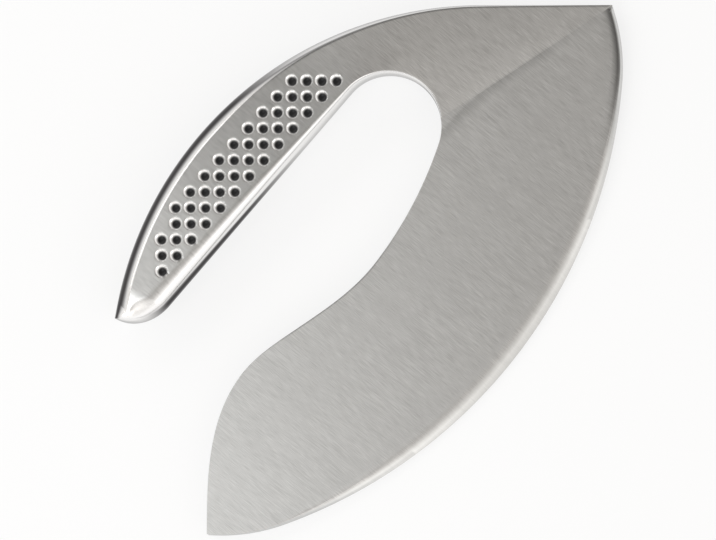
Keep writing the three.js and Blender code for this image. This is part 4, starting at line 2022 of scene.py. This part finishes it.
@dataclass(frozen=True)
class Studio:
    """Floor, lamps, sky and camera."""

    laying: Laying
    picture_right: tuple[float, float] = (0.6072, -0.7946)
    picture_up: tuple[float, float] = (0.7946, 0.6072)
    picture_centre: tuple[float, float] = (81.57 * MM, 11.05 * MM)
    picture_width: float = 193.2 * MM
    camera_distance: float = 0.95
    view_reach: float = 50.0
    sensor: float = 36.0
    floor_size: float = 12.0
    floor_colour: tuple[float, float, float] = (0.86, 0.86, 0.86)
    floor_roughness: float = 0.9
    floor_gloss: float = 0.1
    floor_white: float = 0.75
    sky_tint: tuple[float, float, float] = (1.0, 0.95, 0.89)
    sky_levels: tuple[tuple[float, float], ...] = (
        (0.0, 1.1),
        (0.35, 1.0),
        (0.7, 0.75),
        (0.9, 0.44),
        (1.0, 0.35),
    )
    lamps: tuple[Softbox, ...] = (
        Softbox("overhead_softbox", -0.32, -0.2, 0.7, 0.46, 0.46, 1.12, (0.94, 0.98, 1.0)),
        Softbox("free_tip_softbox", -0.42, -0.28, 0.58, 0.6, 0.6, 0.5),
        Softbox("finger_side_softbox", 0.46, -0.38, 0.38, 0.5, 0.4, 0.4),
        Softbox("front_strip", -0.14, -0.52, 0.5, 0.6, 0.45, 0.55),
        Softbox("back_side_strip", -0.38, 0.38, 0.34, 0.7, 0.16, 0.7),
    )

    def _from_picture(self, right: float, up: float, rise: float) -> Vector:
        """A place given in the picture's own directions from its centre, in the frame."""
        flat = Vector(self.picture_centre) + Vector(self.picture_right) * right + Vector(self.picture_up) * up
        return self.laying.place(flat.x, flat.y, rise)

    def floor(self) -> bpy.types.Object:
        """A plain pale floor, mostly white to the camera and in the steel, with a soft shadow left on it.

        Returns:
            The floor.
        """
        Bench.clear()
        bpy.ops.mesh.primitive_plane_add(size=self.floor_size, location=(0.0, 0.0, 0.0))
        ground = bpy.context.active_object
        ground.name = "floor"
        sheet = NodeSheet("pale_floor")
        sheet.surface("Base Color", opaque(self.floor_colour))
        sheet.surface("Roughness", self.floor_roughness)
        sheet.surface("Specular IOR Level", self.floor_gloss)
        rays = sheet.nodes.new("ShaderNodeLightPath").outputs
        seen = sheet.calculated("MAXIMUM", rays["Is Camera Ray"], rays["Is Glossy Ray"])
        seen = sheet.calculated("MAXIMUM", seen, rays["Is Transmission Ray"])
        white = sheet.nodes.new("ShaderNodeEmission")
        both = sheet.nodes.new("ShaderNodeMixShader")
        sheet.feed(both.inputs["Fac"], sheet.calculated("MULTIPLY", seen, self.floor_white))
        sheet.feed(both.inputs[1], sheet.shader.outputs["BSDF"])
        sheet.feed(both.inputs[2], white.outputs["Emission"])
        sheet.feed(sheet.output.inputs["Surface"], both.outputs["Shader"])
        Bench.coat(ground, sheet.material)
        return ground

    def light(self) -> None:
        """Sets up the softboxes."""
        target = self._from_picture(0.0, 0.0, 0.0)
        for lamp in self.lamps:
            Bench.clear()
            place = self._from_picture(lamp.right, lamp.up, lamp.rise)
            bpy.ops.object.light_add(type="AREA", location=place)
            fitted = bpy.context.active_object
            fitted.name = lamp.name
            fitted.data.shape = "RECTANGLE"
            fitted.data.size = lamp.width
            fitted.data.size_y = lamp.depth
            fitted.data.energy = lamp.watts
            fitted.data.color = lamp.warmth
            fitted.rotation_euler = (target - place).to_track_quat("-Z", "Y").to_euler()

    def sky(self) -> None:
        """A studio sky: brightest low down, dimmer and warmer overhead."""
        world = bpy.data.worlds.new("studio_sky")
        bpy.context.scene.world = world
        world.use_nodes = True
        nodes = world.node_tree.nodes
        nodes.clear()
        links = world.node_tree.links
        output = nodes.new("ShaderNodeOutputWorld")
        background = nodes.new("ShaderNodeBackground")
        place = nodes.new("ShaderNodeTexCoord")
        parts = nodes.new("ShaderNodeSeparateXYZ")
        ramp = nodes.new("ShaderNodeValToRGB")
        while len(ramp.color_ramp.elements) < len(self.sky_levels):
            ramp.color_ramp.elements.new(0.5)
        for element, (position, level) in zip(ramp.color_ramp.elements, self.sky_levels):
            element.position = position
            element.color = opaque([level * mix(1.0, part, position) for part in self.sky_tint])
        links.new(place.outputs["Generated"], parts.inputs["Vector"])
        links.new(parts.outputs["Z"], ramp.inputs["Fac"])
        links.new(ramp.outputs["Color"], background.inputs["Color"])
        links.new(background.outputs["Background"], output.inputs["Surface"])

    def camera(self) -> None:
        """A long lens square to the knife, turned as the picture is."""
        Bench.clear()
        place = self._from_picture(0.0, 0.0, self.camera_distance)
        bpy.ops.object.camera_add(location=place)
        camera = bpy.context.active_object
        camera.name = "picture_camera"
        right = self.laying.direction(*self.picture_right, 0.0)
        up = self.laying.direction(*self.picture_up, 0.0)
        facing = right.cross(up)
        camera.matrix_world = Matrix.Translation(place) @ Matrix((right, up, facing)).transposed().to_4x4()
        camera.data.sensor_width = self.sensor
        camera.data.lens = self.sensor * self.camera_distance / self.picture_width
        camera.data.clip_end = self.view_reach
        bpy.context.scene.camera = camera


def attach(piece: bpy.types.Object, laying: Laying, slot: str, *nodes: str) -> None:
    """Lays a finished piece down and gives it to the frame.

    Args:
        piece: The finished piece, still flat as drawn.
        laying: How the knife lies.
        slot: The record's material slot; not used.
        nodes: The CAD nodes that the piece stands for.
    """
    Bench.laid(piece, laying)
    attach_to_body(piece, BODY)
    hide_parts(*nodes)
    LOG.info("%s: %d faces", piece.name, len(piece.data.polygons))


def main() -> None:
    """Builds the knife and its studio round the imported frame."""
    logging.basicConfig(level=logging.INFO, format="%(name)s: %(message)s")
    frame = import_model()
    plan = KnifePlan()
    laying = Laying.from_record(frame["record"], plan)
    shop = FinishShop(laying)
    satin = shop.steel(SATIN)
    ground = shop.steel(GROUND)
    handle_steel = shop.steel(HANDLE, PaintFinish())

    blade = Blade(plan)
    blade.build()
    blade.dress(satin, ground)
    attach(blade.pieces[0], laying, "blade_steel", "blade")

    halves = HandleHalves(plan, DimplePattern())
    halves.build()
    halves.dress(handle_steel)
    for piece, node in zip(halves.pieces, ("handle_shell_front", "handle_shell_back")):
        attach(piece, laying, "handle_steel", node)

    seam = RimSeam(plan, halves)
    seam.build()
    seam.dress(handle_steel)
    attach(seam.pieces[0], laying, "weld_steel", "seam_weld")

    welds = NeckWelds(plan)
    welds.build()
    welds.dress(satin)
    for piece, node in zip(welds.pieces, ("neck_weld_front", "neck_weld_back")):
        attach(piece, laying, "weld_steel", node)

    sand = frame["nodes"]["sand_fill"]
    sand.data.materials.clear()
    sand.data.materials.append(shop.sand(SandFinish()))
    LOG.info("sand_fill: kept from the frame, with its own sand")

    studio = Studio(laying)
    studio.floor()
    studio.light()
    studio.sky()
    studio.camera()
    bpy.context.scene.view_settings.view_transform = "Standard"


if __name__ == "__main__":
    main()
